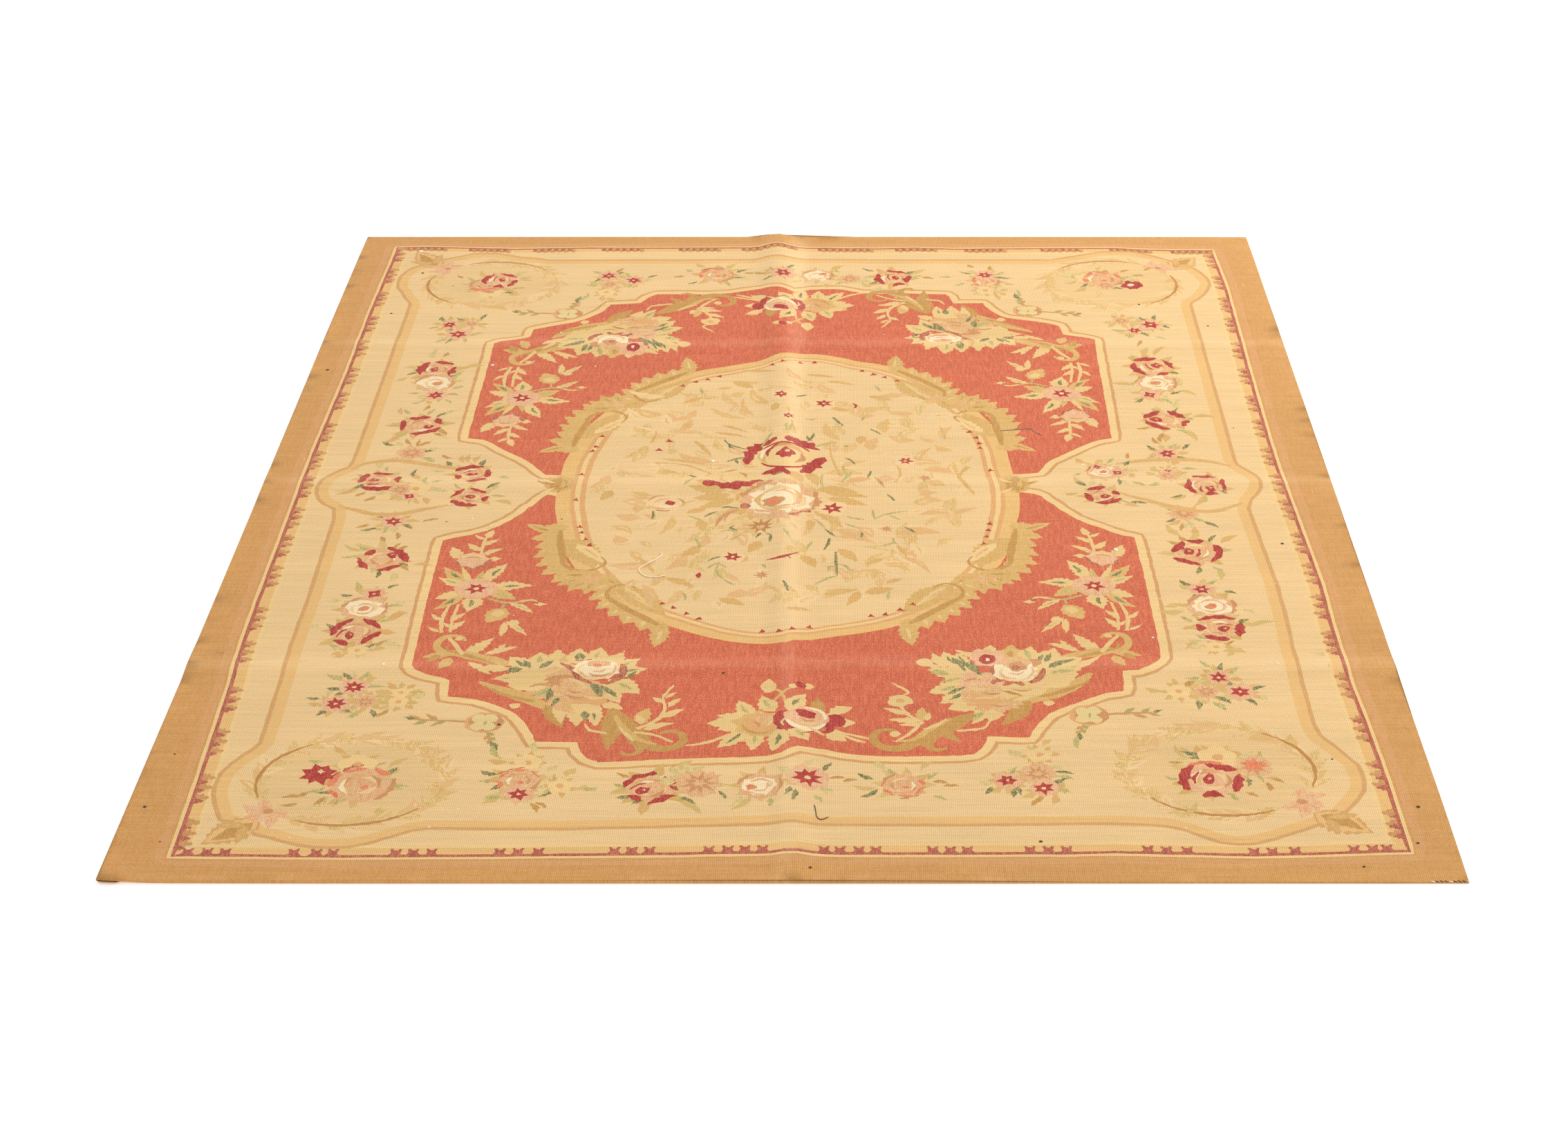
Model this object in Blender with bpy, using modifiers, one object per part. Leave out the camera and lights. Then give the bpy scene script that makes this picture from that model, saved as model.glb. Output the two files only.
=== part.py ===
"""A flat-woven wool rug, 2.44 m by 3.05 m, laid out on the floor after it was stored folded.

The rug is one cloth. It lies flat but for the soft ridge of its lengthwise fold, the lower ridges
of three crosswise folds, slack side edges and one corner that has not settled.
The width runs along X and the length along Y, the near end is at -Y, and the flat parts of the
underside lie at Z = 0.
"""

from collections import namedtuple
from math import ceil, cos, hypot, pi

import bmesh
import bpy

# Size of the cloth, in metres
WIDTH = 2.44
LENGTH = 3.05
THICKNESS = 0.003

# The lengthwise fold: where its crest runs, and how high and how wide it is, at both ends
Ridge = namedtuple("Ridge", "near_x far_x near_height far_height near_half_width far_half_width")
LENGTHWISE = Ridge(
    near_x=0.020,
    far_x=-0.083,
    near_height=0.006,
    far_height=0.010,
    near_half_width=0.050,
    far_half_width=0.070,
)

# The crosswise folds, a quarter of the length apart
Crease = namedtuple("Crease", "y height half_width swing phase")
CROSSWISE = (
    Crease(y=0.800, height=0.0050, half_width=0.060, swing=0.30, phase=0.4),
    Crease(y=0.036, height=0.0035, half_width=0.055, swing=0.45, phase=2.1),
    Crease(y=-0.780, height=0.0055, half_width=0.060, swing=0.35, phase=3.6),
)
CREASE_WAVE = 1.30

# Slack side edges, and the corner that stands off the floor
SLACK_HEIGHT = 0.0022
SLACK_DEPTH = 0.120
SLACK_WAVE = 0.62
CORNER_LIFT = 0.006
CORNER_REACH = 0.100

# Spacing of the mesh lines, on the flat and across a fold
FLAT_PITCH = 0.110
FOLD_PITCH = 0.018
EDGE_PITCH = 0.030

WOOL = (0.72, 0.50, 0.28, 1.0)


def bump(distance, reach):
    """1 at no distance, down to exactly 0 at reach and past it."""
    share = min(abs(distance) / reach, 1.0)
    return 0.5 + 0.5 * cos(pi * share) if share < 1.0 else 0.0


def between(near, far, y):
    """A value that runs from near at the near end of the rug to far at its far end."""
    share = y / LENGTH + 0.5
    return near + (far - near) * share


def lengthwise_ridge(x, y):
    crest = between(LENGTHWISE.near_x, LENGTHWISE.far_x, y)
    reach = between(LENGTHWISE.near_half_width, LENGTHWISE.far_half_width, y)
    height = between(LENGTHWISE.near_height, LENGTHWISE.far_height, y)
    return height * bump(x - crest, reach)


def crosswise_ridges(x, y):
    total = 0.0
    for crease in CROSSWISE:
        share = 1.0 - crease.swing * (0.5 + 0.5 * cos(2 * pi * x / CREASE_WAVE + crease.phase))
        total += crease.height * share * bump(y - crease.y, crease.half_width)
    return total


def slack_edge(x, y):
    """Low waves along both sides, which run out towards the middle and at the four corners."""
    from_side = WIDTH / 2 - abs(x)
    from_end = LENGTH / 2 - abs(y)
    wave = 0.5 - 0.5 * cos(2 * pi * from_end / SLACK_WAVE)
    return SLACK_HEIGHT * wave * bump(from_side, SLACK_DEPTH)


def lifted_corner(x, y):
    """The near left corner."""
    return CORNER_LIFT * bump(hypot(x + WIDTH / 2, y + LENGTH / 2), CORNER_REACH)


def floor_gap(x, y):
    """How far the underside stands off the floor."""
    folds = hypot(lengthwise_ridge(x, y), crosswise_ridges(x, y))
    return max(folds, slack_edge(x, y), lifted_corner(x, y))


def stretch(start, end, pitch):
    """Evenly spaced lines from start to end, without the end itself."""
    steps = ceil((end - start) / pitch)
    return [start + (end - start) * step / steps for step in range(steps)]


def mesh_lines(low, high, close_bands):
    """Mesh lines from low to high, closer together in each band of close_bands."""
    lines = []
    at = low
    for start, end, pitch in close_bands:
        lines += stretch(at, start, FLAT_PITCH)
        lines += stretch(start, end, pitch)
        at = end
    return lines + stretch(at, high, FLAT_PITCH) + [high]


def column_lines():
    side = WIDTH / 2
    ridge_left = LENGTHWISE.far_x - LENGTHWISE.far_half_width
    ridge_right = LENGTHWISE.near_x + LENGTHWISE.near_half_width
    bands = (
        (-side, -side + SLACK_DEPTH, EDGE_PITCH),
        (ridge_left, ridge_right, FOLD_PITCH),
        (side - SLACK_DEPTH, side, EDGE_PITCH),
    )
    return mesh_lines(-side, side, bands)


def row_lines():
    end = LENGTH / 2
    folds = [
        (crease.y - crease.half_width, crease.y + crease.half_width, FOLD_PITCH)
        for crease in sorted(CROSSWISE, key=lambda crease: crease.y)
    ]
    return mesh_lines(-end, end, [(-end, -end + CORNER_REACH, EDGE_PITCH), *folds])


def wool_material():
    material = bpy.data.materials.new("wool")
    material.use_nodes = True
    shader = material.node_tree.nodes["Principled BSDF"]
    shader.inputs["Base Color"].default_value = WOOL
    shader.inputs["Roughness"].default_value = 0.92
    shader.inputs["Metallic"].default_value = 0.0
    return material


def rug_mesh():
    """The underside of the rug: an even grid whose lines are then moved to their places."""
    columns, rows = column_lines(), row_lines()
    bm = bmesh.new()
    bmesh.ops.create_grid(bm, x_segments=len(columns) - 1, y_segments=len(rows) - 1, size=1.0)
    for vert in bm.verts:
        x = columns[round((vert.co.x + 1) / 2 * (len(columns) - 1))]
        y = rows[round((vert.co.y + 1) / 2 * (len(rows) - 1))]
        vert.co = (x, y, floor_gap(x, y))
    mesh = bpy.data.meshes.new("rug")
    bm.to_mesh(mesh)
    bm.free()
    mesh.materials.append(wool_material())
    return mesh


def make_rug(collection):
    rug = bpy.data.objects.new("rug", rug_mesh())
    collection.objects.link(rug)
    cloth = rug.modifiers.new("cloth", "SOLIDIFY")
    cloth.thickness = THICKNESS
    cloth.offset = 1.0
    return rug


def main():
    for old in list(bpy.data.objects):
        bpy.data.objects.remove(old, do_unlink=True)
    collection = bpy.data.collections.new("aubusson rug")
    bpy.context.scene.collection.children.link(collection)
    make_rug(collection)


main()
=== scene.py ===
import math
import random
from collections import namedtuple

import bmesh
import bpy
import numpy as np
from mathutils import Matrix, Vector
from mathutils.geometry import delaunay_2d_cdt


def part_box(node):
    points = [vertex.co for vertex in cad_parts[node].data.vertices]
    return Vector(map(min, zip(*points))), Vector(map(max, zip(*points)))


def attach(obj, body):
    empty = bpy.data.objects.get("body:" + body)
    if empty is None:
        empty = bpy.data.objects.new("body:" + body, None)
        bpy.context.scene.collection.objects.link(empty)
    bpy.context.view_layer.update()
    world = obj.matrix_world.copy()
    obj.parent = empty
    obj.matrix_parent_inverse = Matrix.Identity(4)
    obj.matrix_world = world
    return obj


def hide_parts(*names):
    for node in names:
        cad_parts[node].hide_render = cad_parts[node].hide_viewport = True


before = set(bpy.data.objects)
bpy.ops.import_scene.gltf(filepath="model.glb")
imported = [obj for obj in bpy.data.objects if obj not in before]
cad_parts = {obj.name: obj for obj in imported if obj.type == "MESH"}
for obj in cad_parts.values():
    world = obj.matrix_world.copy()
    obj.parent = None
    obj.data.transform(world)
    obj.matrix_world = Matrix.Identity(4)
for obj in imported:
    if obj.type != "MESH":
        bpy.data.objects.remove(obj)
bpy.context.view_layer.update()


# The outer border: the plain tan wool that the weaver starts and ends with. It carries the whole
# rug, so the first patch of yarn is the cloth itself, and every other one is woven into it.
# The design is drawn in millimetres from the middle of the rug, far end up.
low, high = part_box("rug")
SIDE = (high[0] - low[0]) * 500.0
END = (high[1] - low[1]) * 500.0
SELVEDGE_PITCH = 30.0
SELVEDGE_SWAY = 1.1

Yarn = namedtuple("Yarn", "colour fleck share")
TAN = Yarn((221, 166, 101), (202, 144, 80), 0.35)
WARM_TAN = Yarn((225, 170, 112), (208, 148, 92), 0.35)
BARK = Yarn((186, 128, 78), (160, 104, 62), 0.40)

chance = random.Random(1210)
patches = []


def evenly(points, step=9.0, closed=True):
    """Points at most a step apart along straight lines between the given points."""
    ends = list(zip(points, points[1:] + points[:1])) if closed else list(zip(points, points[1:]))
    line = []
    for (x0, y0), (x1, y1) in ends:
        cuts = max(1, round(math.hypot(x1 - x0, y1 - y0) / step))
        line += [(x0 + (x1 - x0) * cut / cuts, y0 + (y1 - y0) * cut / cuts) for cut in range(cuts)]
    return np.array(line if closed else line + [points[-1]], float)


def lay(yarn, outline, sway=1.7):
    """Weaves a patch of yarn over what is there; its edge strays a little, as hand weaving does."""
    outline = np.array(outline, float)
    strays = [(chance.uniform(-sway, sway), chance.uniform(-sway, sway)) for _ in outline]
    patches.append((yarn, outline + np.array(strays)))


def inset(outline, by):
    """The closed outline moved inwards, or outwards where by is negative."""
    before, after = np.roll(outline, 1, axis=0), np.roll(outline, -1, axis=0)
    along = after - before
    along /= np.hypot(along[:, 0], along[:, 1])[:, None]
    turning = np.sum(outline[:, 0] * after[:, 1] - after[:, 0] * outline[:, 1])
    inwards = np.stack([-along[:, 1], along[:, 0]], axis=1) * math.copysign(1.0, turning)
    return outline + inwards * by


SELVEDGE = [(-SIDE + 1, -END + 1), (SIDE - 1, -END + 1), (SIDE - 1, END - 1), (-SIDE + 1, END - 1)]
lay(TAN, evenly(SELVEDGE, SELVEDGE_PITCH), SELVEDGE_SWAY)


# The guard band: a thin rose line between two pale ones, with small rose towers in groups of
# three or four on a strip of ochre. Its path strays by up to 10 mm, as the warp was pulled.
STRAW = Yarn((243, 207, 144), (235, 192, 125), 0.30)
ROSE = Yarn((178, 92, 72), (200, 124, 96), 0.35)
HONEY = Yarn((239, 194, 128), (228, 178, 108), 0.35)
CREAM = Yarn((240, 204, 148), (232, 190, 130), 0.32)

ROSE_LINE = [
    (-1106, -1447), (-1090, -1446), (-1000, -1447), (-800, -1450), (-500, -1447), (-400, -1445), (-200, -1442),
    (0, -1436), (100, -1441), (300, -1441), (500, -1440), (600, -1437), (850, -1446), (950, -1442),
    (1100, -1434), (1133, -1433), (1132, -1200), (1127, -1000), (1121, -850), (1121, -600),
    (1125, -450), (1116, -100), (1110, 100), (1110, 300), (1114, 700), (1121, 1150), (1117, 1300),
    (1113, 1405), (1114, 1427), (1000, 1428), (900, 1434), (850, 1443), (700, 1443), (400, 1438), (300, 1446),
    (200, 1440), (0, 1445), (-85, 1458), (-130, 1448), (-400, 1445), (-600, 1446), (-800, 1437),
    (-1050, 1452), (-1128, 1449), (-1126, 1400), (-1129, 1200), (-1132, 1000), (-1131, 900),
    (-1130, 600), (-1136, 200), (-1133, -200), (-1131, -500), (-1128, -700), (-1120, -850),
    (-1116, -1000), (-1110, -1200), (-1106, -1425),
]
GUARD_BANDS = ((WARM_TAN, -30.0), (TAN, -12.0), (STRAW, -7.0), (ROSE, 0.0), (HONEY, 8.0),
               (STRAW, 29.0), (CREAM, 37.0))
guard = evenly(ROSE_LINE, 24.0)
for yarn, depth in GUARD_BANDS:
    lay(yarn, inset(guard, depth), 0.6)

TOWER = [(-17, 2), (-11, 7), (-8, 13), (-11, 24), (-6, 25), (-3, 20), (3, 20), (6, 25), (11, 24),
         (8, 13), (11, 7), (17, 2)]
TIERS = [(-16, 0), (-11, 7), (-14, 12), (-6, 15), (-7, 22), (1, 26), (6, 20), (4, 14), (13, 11), (10, 6), (16, 0)]
FAR_TOWER = [(-9, 2), (-6, 12), (-8, 22), (4, 23), (3, 12), (8, 2)]
FAR_TOWER_PITCH = 19.0
NEAR_TOWERS = (-1078, -1043, -1010, -886, -845, -815, -702, -670, -637, -514, -481, -444, -307, -276,
               -244, -136, -102, -71, -39, 72, 101, 135, 166, 269, 301, 332, 445, 478, 511, 658, 692,
               729, 850, 883, 924, 1032, 1066, 1092)
FAR_GROUPS = ((-1049, 3), (-875, 3), (-698, 3), (-510, 3), (-299, 3), (-107, 4), (102, 4), (295, 3),
              (485, 3), (694, 3), (883, 3), (1050, 3))
LEFT_GROUPS = (-1385, -1235, -1075, -920, -740, -600, -420, -280, -150, 0, 135, 285, 455, 600, 760, 920,
               1080, 1240, 1390)
RIGHT_GROUPS = (1340, 1190, 1045, 912, 750, 600, 440, 304, 153, 15, -110, -267, -407, -545, -698, -868,
                -1026, -1188, -1352)
TOWER_PITCH = 34.0
NUT_SHADE = Yarn((218, 168, 106), (200, 140, 90), 0.42)
OCHRE = Yarn((213, 166, 97), (190, 138, 70), 0.38)


def on_guard(x, y):
    """The point of the rose line nearest to the given one."""
    return guard[np.argmin(np.hypot(guard[:, 0] - x, guard[:, 1] - y))]


def stand(yarn, shape, x, y, turn, sway=0.8):
    """Weaves a small shape, drawn upright at the origin, at a place and turned."""
    c, s = math.cos(turn), math.sin(turn)
    lay(yarn, [(x + c * u - s * v, y + s * u + c * v) for u, v in shape], sway)


for x in NEAR_TOWERS:
    stand(ROSE, TOWER, x, on_guard(x, -END)[1] + 2, 0.0)
for middle, count in FAR_GROUPS:
    for step in range(2 * count):
        x = middle + (step - count + 0.5) * FAR_TOWER_PITCH
        stand(ROSE, FAR_TOWER, x, on_guard(x, END)[1] - 2, math.pi)
        stand(OCHRE, FAR_TOWER, x + 10, on_guard(x, END)[1] - 9, math.pi)
for groups, side in ((LEFT_GROUPS, -1), (RIGHT_GROUPS, 1)):
    for middle in groups:
        for step in (-1, 0, 1):
            y = middle + step * TOWER_PITCH
            x = on_guard(side * SIDE, y)[0] - side * 7
            size = chance.uniform(0.45, 0.80)
            tower = [(size * u, size * v) for u, v in TIERS]
            stand(NUT_SHADE, TIERS, x, y + 11, side * math.pi / 2, 1.6)
            stand(ROSE, tower, x, y + chance.uniform(-5, 5), side * math.pi / 2, 1.6)


# The cream border's frame: a tan stripe with a thin brown line outside it. It runs straight along
# the sides and ends, swells into a round bay at each corner and each side's middle, and sprouts
# an ochre leaf from each corner bay towards the corner of the rug.
NUT = Yarn((224, 176, 116), (210, 156, 96), 0.40)
GOLD = Yarn((228, 188, 119), (208, 160, 88), 0.36)
PALE_MOSS = Yarn((196, 172, 104), (176, 158, 92), 0.40)

STRIPE_LINE = [
    (-1033, 1051), (-1033, 600), (-1033, 146), (-1038, 109), (-1057, 91), (-1073, 67), (-1088, 36),
    (-1094, 4), (-1091, -22), (-1080, -54), (-1062, -80), (-1052, -86), (-1038, -99), (-1030, -150),
    (-1028, -300), (-1024, -500), (-1025, -700), (-1021, -800), (-1019, -900), (-1016, -1068),
    (-1025, -1090), (-1041, -1113), (-1057, -1142), (-1070, -1174), (-1073, -1216), (-1070, -1247),
    (-1062, -1274), (-1052, -1300), (-1041, -1329), (-1005, -1352), (-962, -1379), (-936, -1388),
    (-909, -1400), (-883, -1410), (-857, -1417), (-820, -1418), (-788, -1416), (-757, -1405),
    (-730, -1390), (-704, -1376), (-683, -1364), (-650, -1357), (-500, -1360), (-400, -1359),
    (-300, -1355), (-200, -1350), (-100, -1346), (0, -1341), (100, -1346), (300, -1346),
    (400, -1345), (600, -1342), (668, -1346), (700, -1350), (732, -1363), (763, -1384), (795, -1403),
    (826, -1408), (858, -1405), (895, -1390), (932, -1371), (963, -1355), (989, -1340), (1030, -1312),
    (1050, -1284), (1068, -1258), (1082, -1232), (1088, -1190), (1084, -1147), (1071, -1121),
    (1053, -1084), (1037, -1058), (1029, -1042), (1022, -1000), (1023, -850), (1024, -700),
    (1028, -600), (1028, -450), (1022, -300), (1014, -100), (1018, -80), (1026, -54), (1042, -28),
    (1055, 4), (1058, 36), (1050, 67), (1032, 96), (1016, 120), (1013, 146), (1013, 600), (1013, 1051),
    (1018, 1067), (1037, 1088), (1058, 1125), (1071, 1157), (1079, 1188), (1076, 1230), (1063, 1267),
    (1047, 1299), (1015, 1332), (979, 1359), (953, 1380), (921, 1401), (889, 1414), (853, 1417),
    (805, 1412), (774, 1401), (737, 1385), (700, 1370), (668, 1357), (300, 1356), (0, 1359),
    (-90, 1370), (-150, 1358), (-699, 1354), (-720, 1362), (-746, 1370), (-778, 1375), (-815, 1391),
    (-852, 1403), (-883, 1403), (-915, 1398), (-941, 1383), (-973, 1367), (-1005, 1350),
    (-1046, 1314), (-1062, 1301), (-1075, 1278), (-1086, 1241), (-1087, 1199), (-1082, 1162),
    (-1067, 1135), (-1052, 1093), (-1038, 1067),
]
stripe = evenly(STRIPE_LINE, 20.0)
for yarn, depth in ((NUT, -5.0), (HONEY, 4.0), (CREAM, 26.0)):
    lay(yarn, inset(stripe, depth), 0.7)


def smooth(points, closed=False, step=9.0):
    """Points about a step apart on a smooth line through the given points."""
    points = np.array(points, float)
    count = len(points)
    line = []
    for k in range(count if closed else count - 1):
        near = [k - 1, k, k + 1, k + 2]
        a, b, c, d = points[[i % count if closed else min(max(i, 0), count - 1) for i in near]]
        cuts = max(2, round(math.hypot(*(c - b)) / step))
        for t in np.arange(cuts) / cuts:
            cubic = (2 * a - 5 * b + 4 * c - d) * t + (3 * b - a - 3 * c + d) * t * t
            line.append(b + 0.5 * t * (c - a + cubic))
    return np.array(line if closed else line + [points[-1]])


def ribbon(yarn, points, *widths, step=9.0, sway=1.3):
    """A stripe of yarn along a smooth line, with its widths spread evenly along it."""
    line = smooth(points, step=step)
    along = np.gradient(line, axis=0)
    along /= np.hypot(along[:, 0], along[:, 1])[:, None]
    side = np.stack([-along[:, 1], along[:, 0]], axis=1)
    share = np.linspace(0.0, 1.0, len(line))
    half = np.interp(share, np.linspace(0.0, 1.0, len(widths)), widths)[:, None] / 2
    lay(yarn, np.concatenate([line + side * half, (line - side * half)[::-1]]), sway)


LEAF_NOTCH = 0.13


def leaf(yarn, base, tip, width, bend=0.0, vein=None, step=8.0):
    """A pointed leaf from base to tip, with a darker vein where one is named."""
    base, tip = np.array(base, float), np.array(tip, float)
    run = tip - base
    length = math.hypot(*run)
    across = np.array([-run[1], run[0]]) / length
    share = np.linspace(0.0, 1.0, max(4, round(length / step)) + 1)
    spine = base + share[:, None] * run + np.sin(np.pi * share)[:, None] * across * length * bend
    notched = 1 + LEAF_NOTCH * np.cos(np.pi * np.arange(len(share)))
    half = (np.sin(np.pi * share ** 0.8) * notched)[:, None] * across * width / 2
    lay(yarn, np.concatenate([spine + half, (spine - half)[-2:0:-1]]))
    if vein:
        start, stop = spine[len(spine) // 4], spine[-(len(spine) // 4) - 1]
        leaf(vein, start, stop, max(width * 0.22, 4.5), bend)


CornerLeaf = namedtuple("CornerLeaf", "base_x base_y tip_x tip_y")
CORNER_LEAVES = (
    CornerLeaf(-985, -1345, -1060, -1408), CornerLeaf(995, -1320, 1076, -1372),
    CornerLeaf(1000, 1310, 1062, 1376), CornerLeaf(-1005, 1322, -1068, 1420),
)
for it in CORNER_LEAVES:
    base, tip = np.array((it.base_x, it.base_y)), np.array((it.tip_x, it.tip_y))
    run = tip - base
    across = np.array((-run[1], run[0]))
    leaf(NUT, base - run * 0.25, tip, 74.0)
    leaf(HONEY, base - run * 0.2, tip - run * 0.08, 58.0)
    leaf(OCHRE, base - run * 0.1, tip - run * 0.2, 34.0, 0.05)
    for lobe in (-0.42, 0.42):
        leaf(NUT, base + run * 0.05, base + run * 0.5 + across * lobe, 22.0)
        leaf(GOLD, base + run * 0.08, base + run * 0.44 + across * lobe * 0.9, 13.0)


# The red field: plain red wool in two halves, above and below the medallion, each with stepped
# and rounded corners. A broad pale band and a thin tan line run round it.
RED = Yarn((208, 103, 72), (222, 124, 88), 0.34)
TAN_LINE = Yarn((221, 168, 112), (208, 148, 92), 0.35)

FAR_FIELD = [
    (-541, 64), (-580, 67), (-594, 88), (-615, 120), (-641, 151), (-667, 175), (-694, 199),
    (-720, 230), (-744, 249), (-784, 259), (-784, 793), (-767, 807), (-744, 815), (-720, 825),
    (-702, 836), (-697, 849), (-694, 891), (-667, 904), (-641, 917), (-615, 928), (-588, 941),
    (-567, 957), (-546, 980), (-525, 1007), (-515, 1030), (-508, 1052), (-431, 1062), (-412, 1099),
    (-391, 1120), (-376, 1122), (-249, 1120), (-197, 1128), (-165, 1141), (-134, 1151),
    (-102, 1155), (-70, 1152), (-49, 1143), (-28, 1129), (-7, 1143), (14, 1150), (56, 1155),
    (93, 1154), (119, 1143), (150, 1128), (198, 1122), (261, 1127), (330, 1122), (372, 1120),
    (382, 1104), (387, 1072), (392, 1060), (468, 1062), (474, 1041), (489, 1009), (510, 978),
    (526, 965), (563, 954), (600, 943), (637, 928), (658, 915), (663, 888), (665, 859), (700, 846),
    (721, 838), (742, 822), (741, 700), (738, 300), (737, 259), (710, 251), (689, 238), (663, 217),
    (637, 191), (610, 165), (584, 141), (571, 120), (560, 93), (553, 78), (510, 70), (400, 72),
]
NEAR_FIELD = [
    (-546, -38), (-567, -30), (-580, -54), (-594, -86), (-602, -91), (-615, -122), (-636, -154),
    (-662, -183), (-683, -204), (-715, -222), (-746, -233), (-775, -249), (-773, -500), (-768, -700),
    (-766, -785), (-757, -801), (-736, -814), (-715, -822), (-694, -830), (-683, -837), (-680, -874),
    (-678, -900), (-652, -903), (-620, -910), (-588, -926), (-562, -942), (-541, -958), (-525, -979),
    (-509, -1010), (-494, -1042), (-488, -1064), (-407, -1067), (-397, -1100), (-381, -1124),
    (-360, -1136), (-302, -1133), (-249, -1127), (-144, -1121), (-92, -1119), (-39, -1115),
    (-13, -1109), (3, -1097), (19, -1088), (45, -1087), (72, -1092), (103, -1104), (145, -1113),
    (198, -1117), (277, -1116), (330, -1113), (356, -1108), (372, -1089), (382, -1063), (386, -1045),
    (466, -1050), (474, -1026), (489, -995), (510, -963), (532, -945), (563, -926), (595, -905),
    (626, -887), (663, -879), (666, -853), (668, -805), (700, -801), (721, -789), (742, -768),
    (750, -753), (752, -700), (751, -500), (747, -300), (744, -233), (721, -225), (695, -207),
    (668, -185), (642, -165), (621, -146), (605, -122), (589, -101), (579, -80), (563, -59),
    (553, -38), (537, -25), (510, -20), (400, -33),
]
FIELD_BANDS = ((TAN_LINE, -26.0), (STRAW, -18.0), (RED, 0.0))
for outline in (FAR_FIELD, NEAR_FIELD):
    field = evenly(outline, 14.0)
    for yarn, depth in FIELD_BANDS:
        lay(yarn, inset(field, depth), 1.0)


# The medallion: a cream oval inside a moulded frame of yellow, pink and pale bands, which is
# narrow at the two ends and wide at the sides.
BUTTER = Yarn((240, 198, 130), (229, 178, 106), 0.38)
BISCUIT = Yarn((232, 180, 120), (222, 162, 102), 0.40)
IVORY = Yarn((249, 226, 184), (244, 214, 166), 0.30)

MEDALLION = [
    (35, 737), (-39, 732), (-97, 700), (-160, 676), (-197, 660), (-249, 642), (-330, 590),
    (-395, 520), (-455, 430), (-500, 330), (-530, 204), (-536, 172), (-541, 146), (-545, 93),
    (-548, 0), (-544, -91), (-536, -138), (-530, -175), (-523, -212), (-495, -320), (-450, -420),
    (-390, -510), (-320, -580), (-244, -629), (-197, -655), (-144, -679), (-92, -692), (-39, -697),
    (-10, -698), (3, -689), (40, -679), (93, -663), (145, -650), (208, -626), (290, -575),
    (360, -505), (420, -410), (460, -310), (487, -191), (492, -154), (500, -101), (503, 0),
    (494, 78), (489, 146), (484, 204), (460, 320), (415, 430), (355, 530), (290, 610), (206, 671),
    (145, 692), (98, 716),
]
Moulding = namedtuple("Moulding", "yarn end_depth side_depth")
MEDALLION_BANDS = (
    Moulding(BUTTER, 0, 0), Moulding(BISCUIT, 23, 33), Moulding(STRAW, 31, 43),
    Moulding(BISCUIT, 39, 54), Moulding(CREAM, 46, 66),
)
medallion = smooth(MEDALLION, closed=True, step=16.0)
sideways = np.abs(medallion[:, 0]) / 520.0
for band in MEDALLION_BANDS:
    depth = band.end_depth + (band.side_depth - band.end_depth) * sideways ** 1.5
    lay(band.yarn, inset(medallion, depth[:, None]), 0.8)


# The near end's sprays: roses, star flowers and leaves in a row on the cream ground. A rose is a
# ragged ring of petals round a pale body and a dark heart; soft leaves in yarns close to the
# ground lie behind it, and a few short leaves in strong greens stand out from it.
CRIMSON = Yarn((172, 58, 54), (198, 88, 70), 0.34)
WINE = Yarn((164, 84, 64), (208, 134, 96), 0.42)
CORAL = Yarn((226, 116, 78), (232, 142, 102), 0.45)
BLUSH = Yarn((239, 196, 144), (220, 158, 108), 0.38)
PINK = Yarn((241, 200, 154), (226, 160, 116), 0.38)
SAND = Yarn((224, 172, 114), (204, 142, 92), 0.50)
MOSS = Yarn((112, 112, 70), (176, 158, 104), 0.38)
SAGE = Yarn((180, 168, 98), (208, 186, 122), 0.38)
PALE_LEAVES = (
    Yarn((221, 182, 112), (210, 168, 96), 0.45), Yarn((229, 191, 124), (216, 176, 106), 0.45),
    Yarn((209, 177, 106), (222, 188, 122), 0.45), Yarn((228, 179, 112), (220, 166, 100), 0.40),
)
MISTY_LEAVES = (
    Yarn((223, 190, 122), (212, 176, 104), 0.45), Yarn((213, 186, 118), (226, 198, 136), 0.40),
    Yarn((228, 184, 116), (216, 168, 100), 0.45), Yarn((206, 182, 116), (222, 194, 130), 0.45),
)
DARK_LEAF_LENGTH = 36.0
DARK_LEAF_WIDTH = 10.0


def blob(yarn, x, y, radius, flat=1.0, turn=0.0, ragged=0.13):
    """A round patch with an uneven edge, flat times as high as it is wide, turned by degrees."""
    count = max(7, round(radius * 0.62))
    c, s = math.cos(math.radians(turn)), math.sin(math.radians(turn))
    ring = []
    for k in range(count):
        angle = 2 * math.pi * k / count
        reach = radius * (1 + chance.uniform(-ragged, ragged))
        u, v = reach * math.cos(angle), reach * math.sin(angle) * flat
        ring.append((x + c * u - s * v, y + s * u + c * v))
    lay(yarn, ring, 1.6)


def spiky(yarn, x, y, radius, points=6, depth=0.5, turn=0.0):
    """A star with so many points, whose notches reach depth of the way out."""
    ring = []
    for k in range(2 * points):
        angle = math.radians(turn) + math.pi * k / points
        reach = radius * (chance.uniform(0.86, 1.14) if k % 2 == 0 else depth)
        ring.append((x + reach * math.cos(angle), y + reach * math.sin(angle)))
    lay(yarn, ring, 1.6)


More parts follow.
